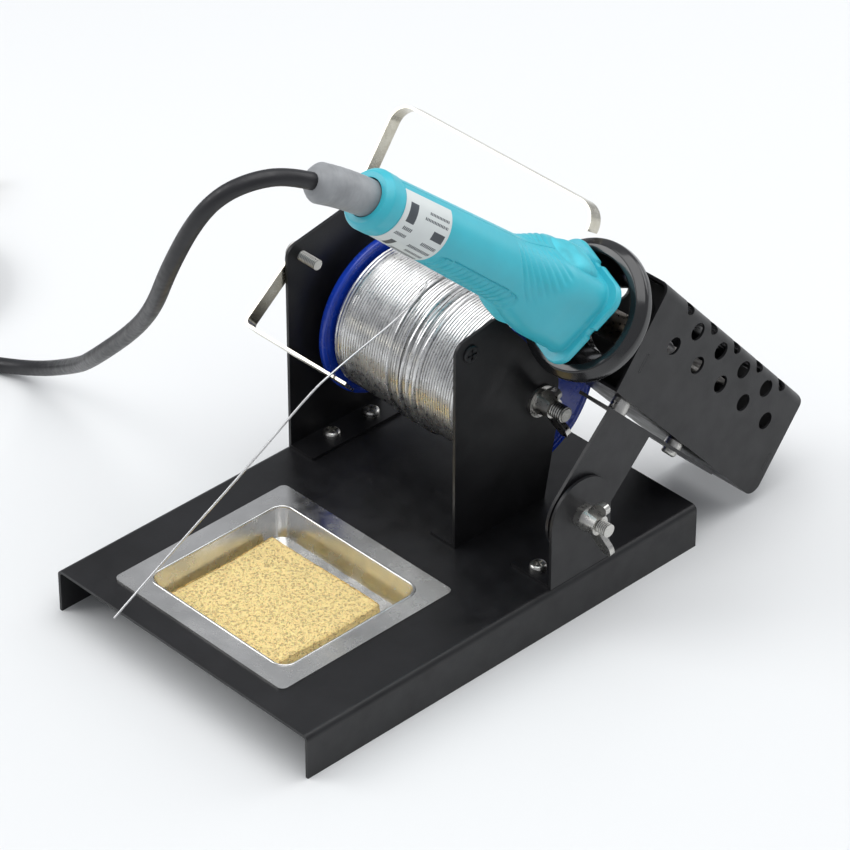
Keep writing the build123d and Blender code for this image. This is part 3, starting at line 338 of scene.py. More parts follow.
# ------------------------------------------------------------------ mesh helpers
def new_piece(name, verts, faces, body, finishes, slot, replaced=(), sharp=40.0):
    """Mesh object from millimetre points, smooth shaded, riding on a body"""
    mesh = bpy.data.meshes.new(name)
    mesh.from_pydata([Vector(v) * MM for v in verts], [], faces)
    mesh.validate()
    for finish in finishes:
        mesh.materials.append(bpy.data.materials[finish])
    made = bmesh.new()
    made.from_mesh(mesh)
    bmesh.ops.recalc_face_normals(made, faces=made.faces)
    for edge in made.edges:
        edge.smooth = not (len(edge.link_faces) == 2 and edge.calc_face_angle() > radians(sharp))
    for face in made.faces:
        face.smooth = True
    made.to_mesh(mesh)
    made.free()
    piece = bpy.data.objects.new(name, mesh)
    bpy.context.scene.collection.objects.link(piece)
    if body:
        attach(piece, body)
    if replaced:
        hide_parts(*replaced)
    return piece


def skin_rings(rings, close_ends=True, around=True):
    """Faces between rings of equal length"""
    count = len(rings[0])
    verts = [point for ring in rings for point in ring]
    faces = []
    for row in range(len(rings) - 1):
        for k in range(count if around else count - 1):
            a, b = row * count + k, row * count + (k + 1) % count
            faces.append((a, b, b + count, a + count))
    if close_ends:
        faces.append(tuple(reversed(range(count))))
        faces.append(tuple(range(len(verts) - count, len(verts))))
    return verts, faces


def turned_rings(origin, axis, outline, segments=96):
    """Rings of a closed outline of (radius, distance along the axis)"""
    axis = axis.normalized()
    across = axis.orthogonal().normalized()
    other = axis.cross(across)
    count = len(outline)
    verts, faces = [], []
    for step in range(segments):
        angle = 2 * pi * step / segments
        outward = across * cos(angle) + other * sin(angle)
        verts += [origin + axis * along + outward * radius for radius, along in outline]
    for step in range(segments):
        for k in range(count):
            a, b = step * count + k, step * count + (k + 1) % count
            c, d = ((step + 1) % segments) * count + (k + 1) % count, ((step + 1) % segments) * count + k
            faces.append((a, b, c, d))
    return verts, faces


def rounded_outline(points, radii, steps=6):
    """Closed outline with each corner rounded by its own radius"""
    made = []
    count = len(points)
    for k in range(count):
        before, at, after = Vector(points[k - 1]), Vector(points[k]), Vector(points[(k + 1) % count])
        radius = radii[k]
        if radius <= 0:
            made.append(tuple(at))
            continue
        back, ahead = before - at, after - at
        half = back.angle(ahead) / 2
        reach = min(radius / max(sin(half) / cos(half), 1e-6), 0.49 * back.length, 0.49 * ahead.length)
        start, end = at + back.normalized() * reach, at + ahead.normalized() * reach
        for step in range(steps + 1):
            share = step / steps
            low = start.lerp(at, share)
            made.append(tuple(low.lerp(at.lerp(end, share), share)))
    return made


def tube_rings(path, radius_at, sides=14):
    """Rings carried along a path of points without twist"""
    rings = []
    tangent = (path[1] - path[0]).normalized()
    across = tangent.orthogonal().normalized()
    for k, point in enumerate(path):
        ahead = path[min(k + 1, len(path) - 1)] - path[max(k - 1, 0)]
        ahead.normalize()
        across = (across - ahead * across.dot(ahead)).normalized()
        other = ahead.cross(across)
        radius = radius_at(k, point)
        rings.append([point + (across * cos(2 * pi * s / sides) + other * sin(2 * pi * s / sides)) * radius
                      for s in range(sides)])
    return rings


def smooth_path(name, points, resolution=8):
    """Points read from a NURBS spline of order three through the given control points"""
    curve = bpy.data.curves.new(name, "CURVE")
    curve.dimensions = "3D"
    curve.resolution_u = resolution
    spline = curve.splines.new("NURBS")
    spline.points.add(len(points) - 1)
    for control, point in zip(spline.points, points):
        control.co = (*point, 1.0)
    spline.order_u = 3
    spline.use_endpoint_u = True
    holder = bpy.data.objects.new(name, curve)
    bpy.context.scene.collection.objects.link(holder)
    bpy.context.view_layer.update()
    line = bpy.data.meshes.new_from_object(holder)
    path = [vertex.co.copy() for vertex in line.vertices]
    bpy.data.objects.remove(holder)
    bpy.data.meshes.remove(line)
    return path


def finish_nodes(finish, *nodes):
    """Gives carried-over frame nodes a finish"""
    for name in nodes:
        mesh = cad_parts[name].data
        mesh.materials.clear()
        mesh.materials.append(bpy.data.materials[finish])


# ------------------------------------------------------------------ handle's own shape
SEAM_SIDE = HANDLE_BACK.cross(HANDLE_SEAM)


def handle_point(along, angle, radius):
    return HANDLE_FRONT + HANDLE_BACK * along + (HANDLE_SEAM * cos(angle) + SEAM_SIDE * sin(angle)) * radius


def square_reach(angle, half, corner):
    """Distance from the middle to a rounded square's edge"""
    c, s = abs(cos(angle)), abs(sin(angle))
    if c < s:
        c, s = s, c
    if half * s / c <= half - corner:
        return half / c
    middle = half - corner
    across = middle * (c + s)
    return across + sqrt(max(across * across - 2 * middle * middle + corner * corner, 0.0))


def handle_half(along):
    """Half width and corner radius of the handle behind its flange"""
    if along <= 18.0:
        share = max(along - 3.0, 0.0) / 15.0
        return 15.25 + 0.3 * share, 7.0 + 2.0 * share
    if along <= 42.0:
        share = (along - 18.0) / 24.0
        smooth = share * share * (3 - 2 * share)
        return 15.55 - 3.5 * smooth, 9.0 + 3.05 * smooth
    share = min((along - 42.0) / 62.0, 1.0)
    return 12.05 - 1.55 * share, 12.05 - 1.55 * share


def handle_radius(along, angle):
    half, corner = handle_half(along)
    return square_reach(angle, half, min(corner, half))


# ------------------------------------------------------------------ operators
class STATION_OT_finishes(bpy.types.Operator):
    """Mixes every finish the station uses"""

    bl_idname = "station.finishes"
    bl_label = "Mix Finishes"

    def execute(self, context):
        sizes, colours = context.scene.station_sizes, context.scene.station_colours
        powder_coat(tuple(colours.coat))
        rolled_tinplate()
        plated_steel("zinc plate", (0.62, 0.61, 0.58), 0.24, 0.38)
        cut_threads("axle threads", (0.60, 0.59, 0.56), 0.0010)
        cut_threads("screw threads", (0.60, 0.59, 0.56), 0.0008)
        polished_strip()
        cellulose_sponge(tuple(colours.sponge), sizes.pore_size)
        moulded_plastic("blue reel plastic", tuple(colours.reel), 0.16, 0.30, 1.15,
                        Coat_Weight=0.3, Coat_Roughness=0.08)
        drawn_solder()
        moulded_plastic("black collar plastic", (0.010, 0.010, 0.011), 0.14, 0.26, 1.3,
                        Coat_Weight=0.35, Coat_Roughness=0.06)
        moulded_plastic("handle plastic", tuple(colours.handle), 0.30, 0.42, 1.05,
                        Subsurface_Weight=0.06, Subsurface_Scale=0.003)
        soft_rubber("handle inserts", tuple(colours.inserts), 0.55, 1200.0)
        moulded_plastic("label film", (0.66, 0.70, 0.69), 0.34, 0.44, 1.04)
        moulded_plastic("label ink", (0.05, 0.06, 0.07), 0.34, 0.44, 1.2)
        soft_rubber("grey boot rubber", (0.27, 0.28, 0.29), 0.5)
        soft_rubber("cord rubber", (0.012, 0.012, 0.014), 0.42, 900.0, Specular_IOR_Level=0.45)
        heat_tinted_steel()
        moulded_plastic("ceramic", (0.72, 0.69, 0.62), 0.3, 0.5, 1.1)
        plated_steel("tip plate", (0.42, 0.40, 0.38), 0.32, 0.5)
        plated_steel("brass pins", (0.76, 0.58, 0.26), 0.18, 0.3)
        pale_floor(tuple(colours.stage))
        return {"FINISHED"}


class STATION_OT_steelwork(bpy.types.Operator):
    """Coats the folded base, uprights, bracket, arm and guard"""

    bl_idname = "station.steelwork"
    bl_label = "Coat Steelwork"

    def execute(self, context):
        finish_nodes("black powder coat", "base_plate", "left_upright", "right_upright", "wing_bracket",
                     "holder_arm", "guard_shell", "guard_floor", "front_plate", "rear_plate", "plate_screw")
        finish_nodes("rolled tinplate", "sponge_tray")
        low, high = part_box("sponge_tray")
        middle, top = (low + high) / 2 / MM, high.z / MM
        rim_width, corner = 8.1, 5.4
        half_x, half_y = (high.x - low.x) / 2 / MM - rim_width, (high.y - low.y) / 2 / MM - rim_width
        path = []
        for quarter, (sx, sy) in enumerate(((1, 1), (-1, 1), (-1, -1), (1, -1))):
            for k in range(9):
                turn = (quarter + k / 8) * pi / 2
                path.append(Vector((middle.x + sx * (half_x - corner) + corner * cos(turn),
                                    middle.y + sy * (half_y - corner) + corner * sin(turn), top - 0.15)))
        rings = tube_rings(path + path[:1], lambda k, p: 0.55, 10)
        new_piece("tray_bead", *skin_rings(rings), "tray", ["rolled tinplate"], "tinplate")
        return {"FINISHED"}


class STATION_OT_fasteners(bpy.types.Operator):
    """Plates the rod, bolts, screws, nuts, washers and strips"""

    bl_idname = "station.fasteners"
    bl_label = "Plate Fasteners"

    def execute(self, context):
        finish_nodes("zinc plate", "upright_screws", "upright_nuts", "axle_sleeve", "axle_nut", "axle_washer",
                     "axle_wing_nut", "bail_spacer", "bracket_screws", "bracket_nuts", "pivot_washer",
                     "pivot_nut", "pivot_wing_nut", "shelf_spacers", "shelf_screws", "shelf_nuts")
        finish_nodes("axle threads", "axle_rod")
        finish_nodes("screw threads", "guide_bolt", "bail_bolt", "pivot_bolt")
        finish_nodes("polished strip", "wire_guide", "bail")
        return {"FINISHED"}


class STATION_OT_sponge(bpy.types.Operator):
    """Shapes the sponge, a little uneven and torn at its corners"""

    bl_idname = "station.sponge"
    bl_label = "Shape Sponge"

    def execute(self, context):
        low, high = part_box("sponge")
        middle, half = (low + high) / 2 / MM, (high - low) / 2 / MM
        across, deep, layers = 76, 68, 8
        verts, faces, index = [], [], {}

        def corner(i, j, k):
            key = (i, j, k)
            if key not in index:
                u, v, w = 2 * i / across - 1, 2 * j / deep - 1, k / layers
                lean = 0.985 + 0.015 * sin(3 * v + 1) * u
                x, y = u * half.x * lean, v * half.y * (0.985 + 0.012 * sin(2.5 * u))
                rim = max(0.0, hypot(max(abs(x) - half.x + 2.4, 0), max(abs(y) - half.y + 2.4, 0)) - 0.6)
                lift = half.z * 2 * w
                if k == layers:
                    lift -= min(rim, 1.8) * 0.55
                seed = Vector((x * 0.42, y * 0.42, lift * 0.42))
                rough = noise.noise(seed) * 0.35 + noise.noise(seed * 3.1) * 0.22
                if k == 0:
                    rough = max(rough, 0.0) * 0.1
                if abs(u) > 0.999 or abs(v) > 0.999:
                    x -= (0.25 + abs(rough)) * (1 if u > 0.999 else -1 if u < -0.999 else 0)
                    y -= (0.25 + abs(rough)) * (1 if v > 0.999 else -1 if v < -0.999 else 0)
                if k == layers:
                    lift += rough * 0.6 - 0.2 + 0.45 * sin(0.06 * x + 0.8) * cos(0.07 * y)
                index[key] = len(verts)
                verts.append(middle + Vector((x, y, lift - half.z)))
            return index[key]

        for i in range(across):
            for j in range(deep):
                faces.append((corner(i, j, layers), corner(i + 1, j, layers),
                              corner(i + 1, j + 1, layers), corner(i, j + 1, layers)))
                faces.append((corner(i, j, 0), corner(i, j + 1, 0),
                              corner(i + 1, j + 1, 0), corner(i + 1, j, 0)))
        for k in range(layers):
            for i in range(across):
                for j in (0, deep):
                    faces.append((corner(i, j, k), corner(i + 1, j, k),
                                  corner(i + 1, j, k + 1), corner(i, j, k + 1)))
            for j in range(deep):
                for i in (0, across):
                    faces.append((corner(i, j, k), corner(i, j + 1, k),
                                  corner(i, j + 1, k + 1), corner(i, j, k + 1)))
        new_piece("cleaning_sponge", verts, faces, "sponge", ["cellulose sponge"], "sponge", ("sponge",),
                  70.0)
        return {"FINISHED"}


class STATION_OT_reel(bpy.types.Operator):
    """Turns the reel with its raised rims and hub"""

    bl_idname = "station.reel"
    bl_label = "Turn Reel"

    def execute(self, context):
        axis = Vector((1, 0, 0))
        end = REEL_HALF - 0.4
        barrel = rounded_outline([(REEL_BORE, -end), (BARREL_RADIUS, -end), (BARREL_RADIUS, end),
                                  (REEL_BORE, end)], [0, 0, 0, 0])
        new_piece("reel_barrel", *turned_rings(REEL_MIDDLE, axis, barrel), "reel", ["blue reel plastic"],
                  "blue_plastic", ("reel",))
        for side, name in ((-1, "reel_flange_left"), (1, "reel_flange_right")):
            outer, inner = REEL_HALF * side, (REEL_HALF - 3.0) * side
            dish = outer - 0.9 * side
            outline = rounded_outline(
                [(REEL_BORE, outer), (9.2, outer), (9.6, dish), (29.4, dish), (30.0, outer),
                 (RIM_RADIUS, outer), (RIM_RADIUS, inner), (31.0, inner), (30.4, inner + 0.5 * side),
                 (REEL_BORE, inner + 0.5 * side)],
                [0.3, 0.6, 0.4, 0.4, 0.6, 1.1, 0.9, 0.3, 0.3, 0], 4)
            new_piece(name, *turned_rings(REEL_MIDDLE, axis, outline), "reel", ["blue reel plastic"],
                      "blue_plastic")
            ribs, walls = [], []
            for rib in range(6):
                turn = pi * rib / 3 + 0.3
                outward = Vector((0, cos(turn), sin(turn)))
                beside = Vector((0, -sin(turn), cos(turn)))
                start = len(ribs)
                for radius in (9.4, 29.6):
                    for wide in (-0.7, 0.7):
                        for depth in (dish - 0.2 * side, outer - 0.25 * side):
                            ribs.append(REEL_MIDDLE + axis * depth + outward * radius + beside * wide)
                sides = (0, 1, 3, 2), (4, 6, 7, 5), (0, 4, 5, 1), (2, 3, 7, 6), (1, 5, 7, 3), (0, 2, 6, 4)
                for quad in sides:
                    walls.append(tuple(start + q for q in quad))
            new_piece(name + "_ribs", ribs, walls, "reel", ["blue reel plastic"], "blue_plastic")
        return {"FINISHED"}


class STATION_OT_winding(bpy.types.Operator):
    """Winds the solder on the reel and lays its loose end over the wire guide"""

    bl_idname = "station.winding"
    bl_label = "Wind Solder"

    def execute(self, context):
        wire = context.scene.station_sizes.wire_diameter / MM / 2
        length = WINDING_LENGTH
        start = REEL_MIDDLE.x - length / 2
        turns = int(length / (2.04 * wire))

        def on_reel(x, angle, radius):
            return Vector((x, REEL_MIDDLE.y + cos(angle) * radius, REEL_MIDDLE.z + sin(angle) * radius))

        core = [(BARREL_RADIUS, start - REEL_MIDDLE.x), (CORE_RADIUS, start - REEL_MIDDLE.x),
                (CORE_RADIUS, length / 2), (BARREL_RADIUS, length / 2)]
        new_piece("solder_core", *turned_rings(REEL_MIDDLE, Vector((1, 0, 0)), core), "reel",
                  ["drawn solder"], "solder", ("solder_winding",))
        steps = 44
        path = []
        for k in range(turns * steps + 1):
            turn = k / steps
            sway = 0.10 * noise.noise(Vector((turn * 0.9, 0.0, 3.0)))
            x = start + wire + (length - 2 * wire) * turn / turns + sway
            lift = 0.10 * noise.noise(Vector((turn * 1.7, 2.0, 0.0)))
            path.append(on_reel(x, 2 * pi * turn, WINDING_RADIUS + lift))
        new_piece("solder_turns", *skin_rings(tube_rings(path, lambda k, p: wire, 7)), "reel",
                  ["drawn solder"], "solder")
        verts, faces = [], []
        # stray turns over the winding: first and last share of its length, turns, and starting angle
        strands = [(0.46, 0.60, 1.9, 0.2), (0.63, 0.50, 2.6, 1.6), (0.57, 0.66, 1.2, 3.0),
                   (0.90, 0.97, 2.2, 0.9), (0.985, 0.93, 1.5, 2.4), (0.36, 0.43, 1.1, 4.2),
                   (0.945, 0.985, 1.3, 4.9)]
        for first, last, count, begin in strands:
            line = []
            total = int(count * 60)
            for k in range(total + 1):
                share = k / total
                x = start + wire * 2 + (length - 4 * wire) * (first + (last - first) * share)
                ends = min(share, 1 - share) * count * 2 * pi
                radius = WINDING_RADIUS + min(ends, 1.0) * 0.95 + 0.08 * sin(9 * share)
                line.append(on_reel(x, begin + 2 * pi * count * share, radius))
            ring_verts, ring_faces = skin_rings(tube_rings(line, lambda k, p: wire, 7))
            faces += [tuple(v + len(verts) for v in face) for face in ring_faces]
            verts += ring_verts
        new_piece("solder_strands", verts, faces, "reel", ["drawn solder"], "solder")

        low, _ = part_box("solder_tail")
        end = Vector((-30.7, low.y / MM + 0.5, low.z / MM + 0.6))
        points = [
            Vector((-30.4, REEL_MIDDLE.y - 6.9, REEL_MIDDLE.z + 28.9)), Vector((-26.0, 12.0, 88.6)),
            Vector((-22.2, -24.0, 83.9)), Vector((-21.3, -32.2, 82.4)), Vector((-22.2, -40.0, 79.0)),
            Vector((-25.0, -70.0, 58.0)), Vector((-28.4, -104.0, 36.0)), end,
        ]
        path = smooth_path("tail line", points, 10)
        new_piece("solder_loose_end", *skin_rings(tube_rings(path, lambda k, p: 0.45, 10)), "base",
                  ["drawn solder"], "solder", ("solder_tail",))
        return {"FINISHED"}


class STATION_OT_collar(bpy.types.Operator):
    """Turns the glossy collar at the guard's mouth"""

    bl_idname = "station.collar"
    bl_label = "Turn Collar"

    def execute(self, context):
        back = -6.39
        points = [(12.5, back - 4.0), (14.4, back - 4.0), (14.4, back), (16.4, back), (16.6, 0.4),
                  (20.8, 7.0), (25.4, 9.6), (25.5, 13.2), (22.8, 15.7), (19.9, 15.8), (19.0, 8.0),
                  (12.5, back + 1.0)]
        radii = [0.4, 0.4, 0.2, 0.8, 2.0, 4.0, 1.6, 2.2, 1.4, 0.8, 4.0, 1.5]
        outline = rounded_outline(points, radii, 6)
        new_piece("guard_collar", *turned_rings(MOUTH_MIDDLE, MOUTH_OUT, outline, 128), "holder",
                  ["black collar plastic"], "black_gloss", ("collar",), 50.0)
        return {"FINISHED"}


class STATION_OT_handle(bpy.types.Operator):
    """Moulds the handle with its square flange, seam, ribbed inserts and rear ring"""

    bl_idname = "station.handle"
    bl_label = "Mould Handle"

    def execute(self, context):
        depth = context.scene.station_sizes.rib_depth / MM
        self.mould_body(depth)
        top = [(4.6, 14.0), (7.0, 17.2), (11.0, 18.5), (16.0, 18.2), (21.0, 16.6), (26.0, 14.2)]
        bottom = [(19.5, 13.6), (22.5, 15.9), (27.0, 16.6), (32.0, 15.3), (37.0, 13.0), (40.5, 11.6)]
        self.insert("thumb_insert_top", 1, 17.0, top, ("thumb_pad_top",))
        self.insert("thumb_insert_bottom", -1, 14.0, bottom, ("thumb_pad_bottom",))
        ring = rounded_outline([(6.9, HANDLE_REAR), (10.8, HANDLE_REAR), (10.9, 109.6), (9.2, RING_REAR),
                                (6.9, RING_REAR)], [0, 0.5, 1.6, 0.8, 0.2])
        new_piece("handle_ring", *turned_rings(HANDLE_FRONT, HANDLE_BACK, ring), "iron", ["handle plastic"],
                  "teal_plastic", ("rear_collar",))
        return {"FINISHED"}

    def grip_ribs(self, along, angle, depth):
        """Depth of the thumb arcs beside the top insert and of the ribbed panel under the fingers"""
        turn = degrees((angle + pi) % (2 * pi) - pi)
        cut = 0.0
        for side in (-1, 1):
            around = side * radians(turn) * 14.0
            reach, way = hypot(along - 14.0, around), degrees(atan2(around, along - 14.0))
            if 12.5 < reach < 31.5 and 4.0 < way < 58.0:
                fade = min(1.0, (way - 4.0) / 6.0, (58.0 - way) / 8.0)
                cut = max(cut, depth * fade * (0.5 - 0.5 * cos(2 * pi * (reach - 12.5) / 2.375)) ** 2)
        over, under = abs(abs(turn) - 124.0) / 26.0, abs(along - 56.0) / 21.0
        edge = max(over, under, (over ** 4 + under ** 10) ** 0.25)
        if edge < 0.86:
            cut = max(cut, depth * (0.2 + 0.8 * (0.5 - 0.5 * cos(2 * pi * (along - 37.0) / 2.9)) ** 3))
        elif 0.93 < edge < 1.0:
            cut = max(cut, depth * 0.9)
        return cut

    def mould_body(self, depth):
        angles = []
        for quarter in range(4):
            angles += [quarter * pi / 2 + pi / 2 * k / 44 for k in range(44)]
        for seam in (0.0, pi):
            angles += [seam + turn for turn in (-0.030, -0.016, 0.016, 0.030)]
        angles = sorted(a % (2 * pi) for a in angles)
        stations = [0.0, 0.35, 0.8, 2.2, 2.65, FLANGE_THICKNESS]
        stations += [3.05 + 0.5 * k for k in range(150)] + [78.4 + 3.0 * k for k in range(8)]
        stations += [102.4, 103.2, 103.7, HANDLE_REAR]
        rings = []
        for along in stations:
            ring = []
            for angle in angles:
                if along <= FLANGE_THICKNESS:
                    inset = 0.5 * max(0.0, 1 - along / 0.8) ** 2 + 0.5 * max(0.0, (along - 2.2) / 0.8) ** 2
                    radius = square_reach(angle, FLANGE_HALF, FLANGE_CORNER) - inset
                    notch = abs(((angle + pi / 4) % (pi / 2)) - pi / 4)
                    if notch < 0.075:
                        radius -= 0.9
                else:
                    radius = handle_radius(along, angle)
                    if along < 3.6:
                        radius += 0.35 * (1 - (along - 3.05) / 0.6)
                    radius -= self.grip_ribs(along, angle, depth)
                    near = min(abs((angle + pi) % (2 * pi) - pi), abs(angle - pi))
                    if near < 0.012:
                        radius -= 0.32
                    if along > 103.0:
                        radius -= 0.35 * (along - 103.0) ** 2
                ring.append(handle_point(along, angle, radius))
            rings.append(ring)
        verts, faces = skin_rings(rings)
        new_piece("handle_body", verts, faces, "iron", ["handle plastic"], "teal_plastic",
                  ("handle_shell_left", "handle_shell_right"), 38.0)

    def insert(self, name, side, width, outline, replaced):
        """Domed insert on one seam of the handle, with its outline as (along, height)"""
        rows, columns = 60, 40
        first, last = outline[0][0], outline[-1][0]

        def height(along):
            for (a, low), (b, high) in zip(outline, outline[1:]):
                if along <= b:
                    share = (along - a) / (b - a)
                    smooth = (high - low) * share * share * (3 - 2 * share) * 0.5
                    return low + smooth + (high - low) * share * 0.5
            return outline[-1][1]

        rings = []
        for row in range(rows + 1):
            share = row / rows
            along = first + (last - first) * share
            taper = sqrt(max(0.0, 1 - abs(2 * share - 1) ** 5))
            ring = []
            for column in range(columns + 1):
                across = (2 * column / columns - 1) * width / 2 * max(taper, 0.2)
                edge = 1 - abs(2 * column / columns - 1) ** 6
                rise = height(along) - 1.1 * (across / (width / 2)) ** 2
                sunk = handle_radius(along, atan2(across, rise)) * cos(atan2(across, rise)) - 0.5
                rise = sunk + (max(rise, sunk) - sunk) * (edge ** 0.5)
                outward = (HANDLE_SEAM * rise + SEAM_SIDE * across) * side
                ring.append(HANDLE_FRONT + HANDLE_BACK * along + outward)
            rings.append(ring)
        verts, faces = skin_rings(rings, False, False)
        new_piece(name, verts, faces, "iron", ["handle inserts"], "pale_teal", replaced, 50.0)


class STATION_OT_label(bpy.types.Operator):
    """Wraps the label round the handle, with plain printed bars"""

    bl_idname = "station.label"
    bl_label = "Wrap Label"

    def execute(self, context):
        rows, columns = 92, 150
        # bars as shares of the label: from and to round the handle, from and to along it
        bars = [(0.10, 0.16, 0.06, 0.60), (0.22, 0.26, 0.06, 0.44), (0.32, 0.36, 0.06, 0.52),
                (0.42, 0.46, 0.06, 0.36), (0.54, 0.64, 0.06, 0.30), (0.72, 0.75, 0.06, 0.56),
                (0.80, 0.83, 0.06, 0.48), (0.14, 0.30, 0.70, 0.82), (0.40, 0.44, 0.68, 0.92),
                (0.50, 0.54, 0.68, 0.88), (0.60, 0.84, 0.72, 0.90)]
        rings = []
        for row in range(rows + 1):
            along = LABEL_FRONT + LABEL_WIDTH * row / rows
            ring = []
            for k in range(columns + 1):
                film = 0.14 if 0 < k < columns and 0 < row < rows else 0.0
                turn = radians(-165.0 + 150.0 * k / columns)
                ring.append(handle_point(along, turn, handle_radius(along, 0.0) + film))
            rings.append(ring)
        verts, faces = skin_rings(rings, False, False)
        piece = new_piece("handle_label", verts, faces, "iron", ["label film", "label ink"], "label_film",
                          ("label",))
        for index, face in enumerate(piece.data.polygons):
            row, column = (index // columns) / rows, (index % columns) / columns
            word = (row * 31.0 + floor(column * 12.0) * 0.37) % 1.0 > 0.34
            if any(a <= column <= b and c <= row <= d and (word or b - a > 0.08) for a, b, c, d in bars):
                face.material_index = 1
        return {"FINISHED"}


class STATION_OT_hot_end(bpy.types.Operator):
    """Finishes the barrel, its nut, the element and the tip"""

    bl_idname = "station.hot_end"
    bl_label = "Finish Hot End"

    def execute(self, context):
        finish_nodes("heat tinted steel", "heater_barrel", "barrel_nut")
        finish_nodes("ceramic", "heating_element", "terminal_block")
        finish_nodes("tip plate", "tip")
        return {"FINISHED"}


class STATION_OT_boot(bpy.types.Operator):
    """Moulds the ribbed boot where the cord leaves the handle"""

    bl_idname = "station.boot"
    bl_label = "Mould Boot"

    def execute(self, context):
        mouth = HANDLE_FRONT + HANDLE_BACK * RING_REAR
        middle = mouth + (HANDLE_BACK + BOOT_WAY).normalized() * 12.0
        controls = [HANDLE_FRONT + HANDLE_BACK * 106.0, mouth, middle, BOOT_END - BOOT_WAY * 4.0, BOOT_END]
        path = smooth_path("boot line", controls, 24)
        lengths = [0.0]
        for a, b in zip(path, path[1:]):
            lengths.append(lengths[-1] + (b - a).length)

        def radius(k, point):
            share = lengths[k] / lengths[-1]
            plain = 6.5 + 0.45 * share
            groove = 0.10 * max(0.0, sin(2 * pi * lengths[k] / 3.4)) ** 4 if 0.26 < share < 0.9 else 0.0
            rounding = 2.2 * max(0.0, (share - 0.9) / 0.1) ** 1.3
            return plain - groove - rounding

        new_piece("cord_boot", *skin_rings(tube_rings(path, radius, 40)), "iron", ["grey boot rubber"],
                  "grey_rubber", ("strain_boot",), 60.0)
        return {"FINISHED"}


class STATION_OT_cord(bpy.types.Operator):
    """Lays the cord from the boot to its coil, and finishes the plug"""

    bl_idname = "station.cord"
    bl_label = "Lay Cord"

    def execute(self, context):
        diameter = context.scene.station_sizes.cord_diameter
        exit_point = BOOT_END + BOOT_WAY * 0.05
        route = [
            exit_point, BOOT_END + BOOT_WAY * 11.0, Vector((15.1, -98.6, 207.2)),
            Vector((8.8, -107.4, 202.3)), Vector((1.5, -112.4, 190.5)), Vector((-10.1, -113.6, 168.0)),
            Vector((-27.4, -106.0, 141.5)), Vector((-56.4, -91.5, 111.0)), Vector((-93.4, -80.0, 76.0)),
            Vector((-145.4, -46.0, 31.0)), CORD_LANDING, Vector((-215.4, -52.0, CORD_REST)),
            Vector((-241.4, -72.0, CORD_REST)),
        ]
        turned = 0.0
        while turned <= COIL_TURNED:
            inward = min(turned, COIL_INWARD) / 360.0 * COIL_PITCH
            outward = max(0.0, turned - COIL_OUTWARD) / 360.0 * COIL_PITCH
            radius = COIL_RADIUS - inward + outward
            if turned > COIL_LAST:
                radius = min(radius, COIL_LAST_RADIUS)
            rise = min(max((turned - COIL_INWARD) / 90.0, 0.0), 1.0)
            height = CORD_REST + COIL_CLIMB * rise * rise * (3 - 2 * rise)
            angle = radians(COIL_START - turned * (COIL_SWEPT / COIL_TURNED))
            way = Vector((cos(angle), sin(angle), 0))
            route.append(COIL_MIDDLE + way * (radius / SPLINE_SHARE) + Vector((0, 0, height)))
            turned += COIL_STEP
        plug_low, plug_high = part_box("plug_body")
        plug_x = (plug_low.x + plug_high.x) / 2 / MM
        route += [Vector((plug_x, plug_low.y / MM - 6.0, 8.2)), Vector((plug_x, plug_low.y / MM + 3.0, 7.6))]
        path = smooth_path("cord line", route, 7)
        rings = tube_rings(path, lambda k, p: diameter / MM / 2, 14)
        piece = new_piece("cord", *skin_rings(rings), None, ["cord rubber"], "cord_rubber",
                          ("cord_tube", "cord_coil", "cord_end"))
        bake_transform(piece)
        finish_nodes("cord rubber", "plug_body")
        finish_nodes("brass pins", "plug_pins")
        return {"FINISHED"}


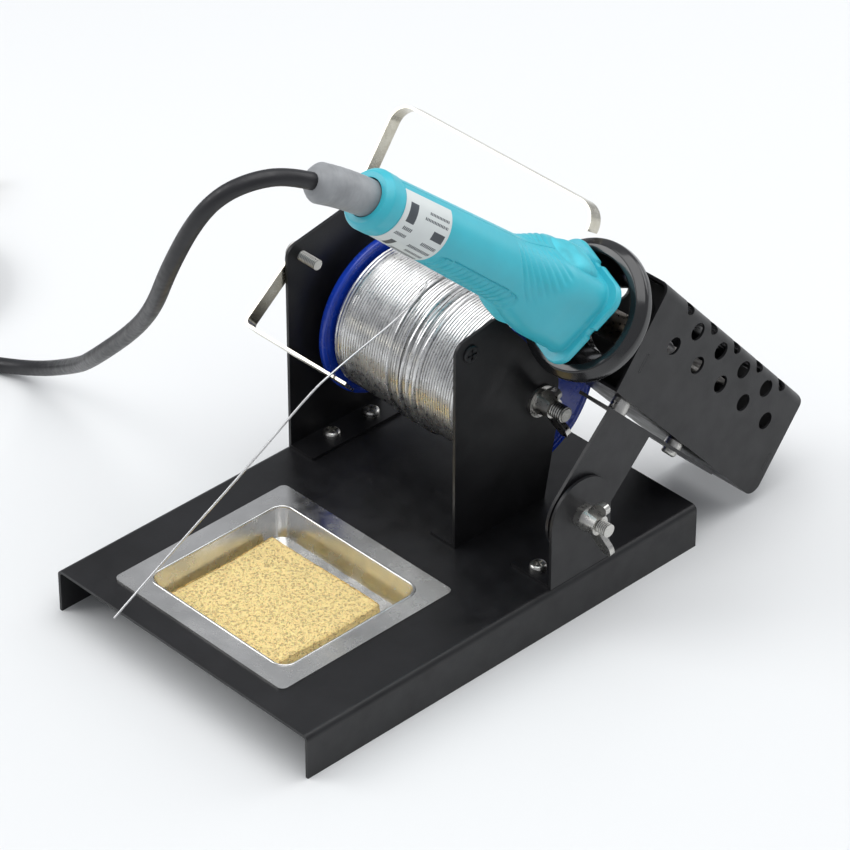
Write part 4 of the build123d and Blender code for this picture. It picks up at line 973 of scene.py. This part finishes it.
class STATION_OT_stage(bpy.types.Operator):
    """Lays the pale floor and sets the lights, world and camera"""

    bl_idname = "station.stage"
    bl_label = "Set Stage"

    def execute(self, context):
        mesh = bpy.data.meshes.new("floor")
        mesh.from_pydata([(-4, -4, 0), (4, -4, 0), (4, 4, 0), (-4, 4, 0)], [], [(0, 1, 2, 3)])
        mesh.materials.append(bpy.data.materials["pale floor"])
        ground = bpy.data.objects.new("floor", mesh)
        context.scene.collection.objects.link(ground)
        context.scene.view_settings.view_transform = "Standard"
        world = bpy.data.worlds.new("studio")
        context.scene.world = world
        world.use_nodes = True
        world.node_tree.nodes["Background"].inputs["Color"].default_value = (0.93, 0.95, 1.0, 1.0)
        world.node_tree.nodes["Background"].inputs["Strength"].default_value = 0.50
        self.softbox("overhead softbox", (0.1, 0.1, 1.3), (0.0, 0.0, 0.05), 1.3, 12.0)
        self.softbox("left softbox", (-0.9, -0.8, 0.9), (0.0, 0.0, 0.08), 0.8, 7.0)
        self.softbox("rear softbox", (0.3, 1.2, 0.7), (0.0, 0.0, 0.08), 0.8, 4.0)
        lens = bpy.data.cameras.new("camera")
        lens.sensor_width = 36.0
        lens.lens = CAMERA_LENS
        lens.clip_start, lens.clip_end = 0.05, 30.0
        camera = bpy.data.objects.new("camera", lens)
        context.scene.collection.objects.link(camera)
        back = CAMERA_RIGHT.cross(CAMERA_UP).normalized()
        up = back.cross(CAMERA_RIGHT.normalized())
        turn = Matrix((CAMERA_RIGHT.normalized(), up, back)).transposed().to_4x4()
        camera.matrix_world = Matrix.Translation(CAMERA_PLACE) @ turn
        context.scene.camera = camera
        return {"FINISHED"}

    def softbox(self, name, place, target, size, power):
        light = bpy.data.lights.new(name, "AREA")
        light.size = size
        light.energy = power
        lamp = bpy.data.objects.new(name, light)
        lamp.location = place
        lamp.rotation_euler = (Vector(target) - Vector(place)).to_track_quat("-Z", "Y").to_euler()
        bpy.context.scene.collection.objects.link(lamp)


STEPS = (
    STATION_OT_finishes, STATION_OT_stage, STATION_OT_cord, STATION_OT_boot, STATION_OT_handle,
    STATION_OT_label, STATION_OT_hot_end, STATION_OT_collar, STATION_OT_steelwork, STATION_OT_fasteners,
    STATION_OT_sponge, STATION_OT_reel, STATION_OT_winding,
)


class STATION_PT_panel(bpy.types.Panel):
    """Sizes, colours and steps of the soldering iron station"""

    bl_idname = "STATION_PT_panel"
    bl_label = "Soldering Iron Station"
    bl_space_type = "VIEW_3D"
    bl_region_type = "UI"
    bl_category = "Station"

    def draw(self, context):
        for group in (context.scene.station_sizes, context.scene.station_colours):
            box = self.layout.box()
            for name in group.__annotations__:
                box.prop(group, name)
        for step in STEPS:
            self.layout.operator(step.bl_idname)


CLASSES = (StationSizes, StationColours, *STEPS, STATION_PT_panel)


def register():
    for item in CLASSES:
        bpy.utils.register_class(item)
    bpy.types.Scene.station_sizes = bpy.props.PointerProperty(type=StationSizes)
    bpy.types.Scene.station_colours = bpy.props.PointerProperty(type=StationColours)


def unregister():
    del bpy.types.Scene.station_colours
    del bpy.types.Scene.station_sizes
    for item in reversed(CLASSES):
        bpy.utils.unregister_class(item)


def main():
    register()
    for step in STEPS:
        getattr(bpy.ops.station, step.bl_idname.split(".")[1])()


if __name__ == "__main__":
    main()
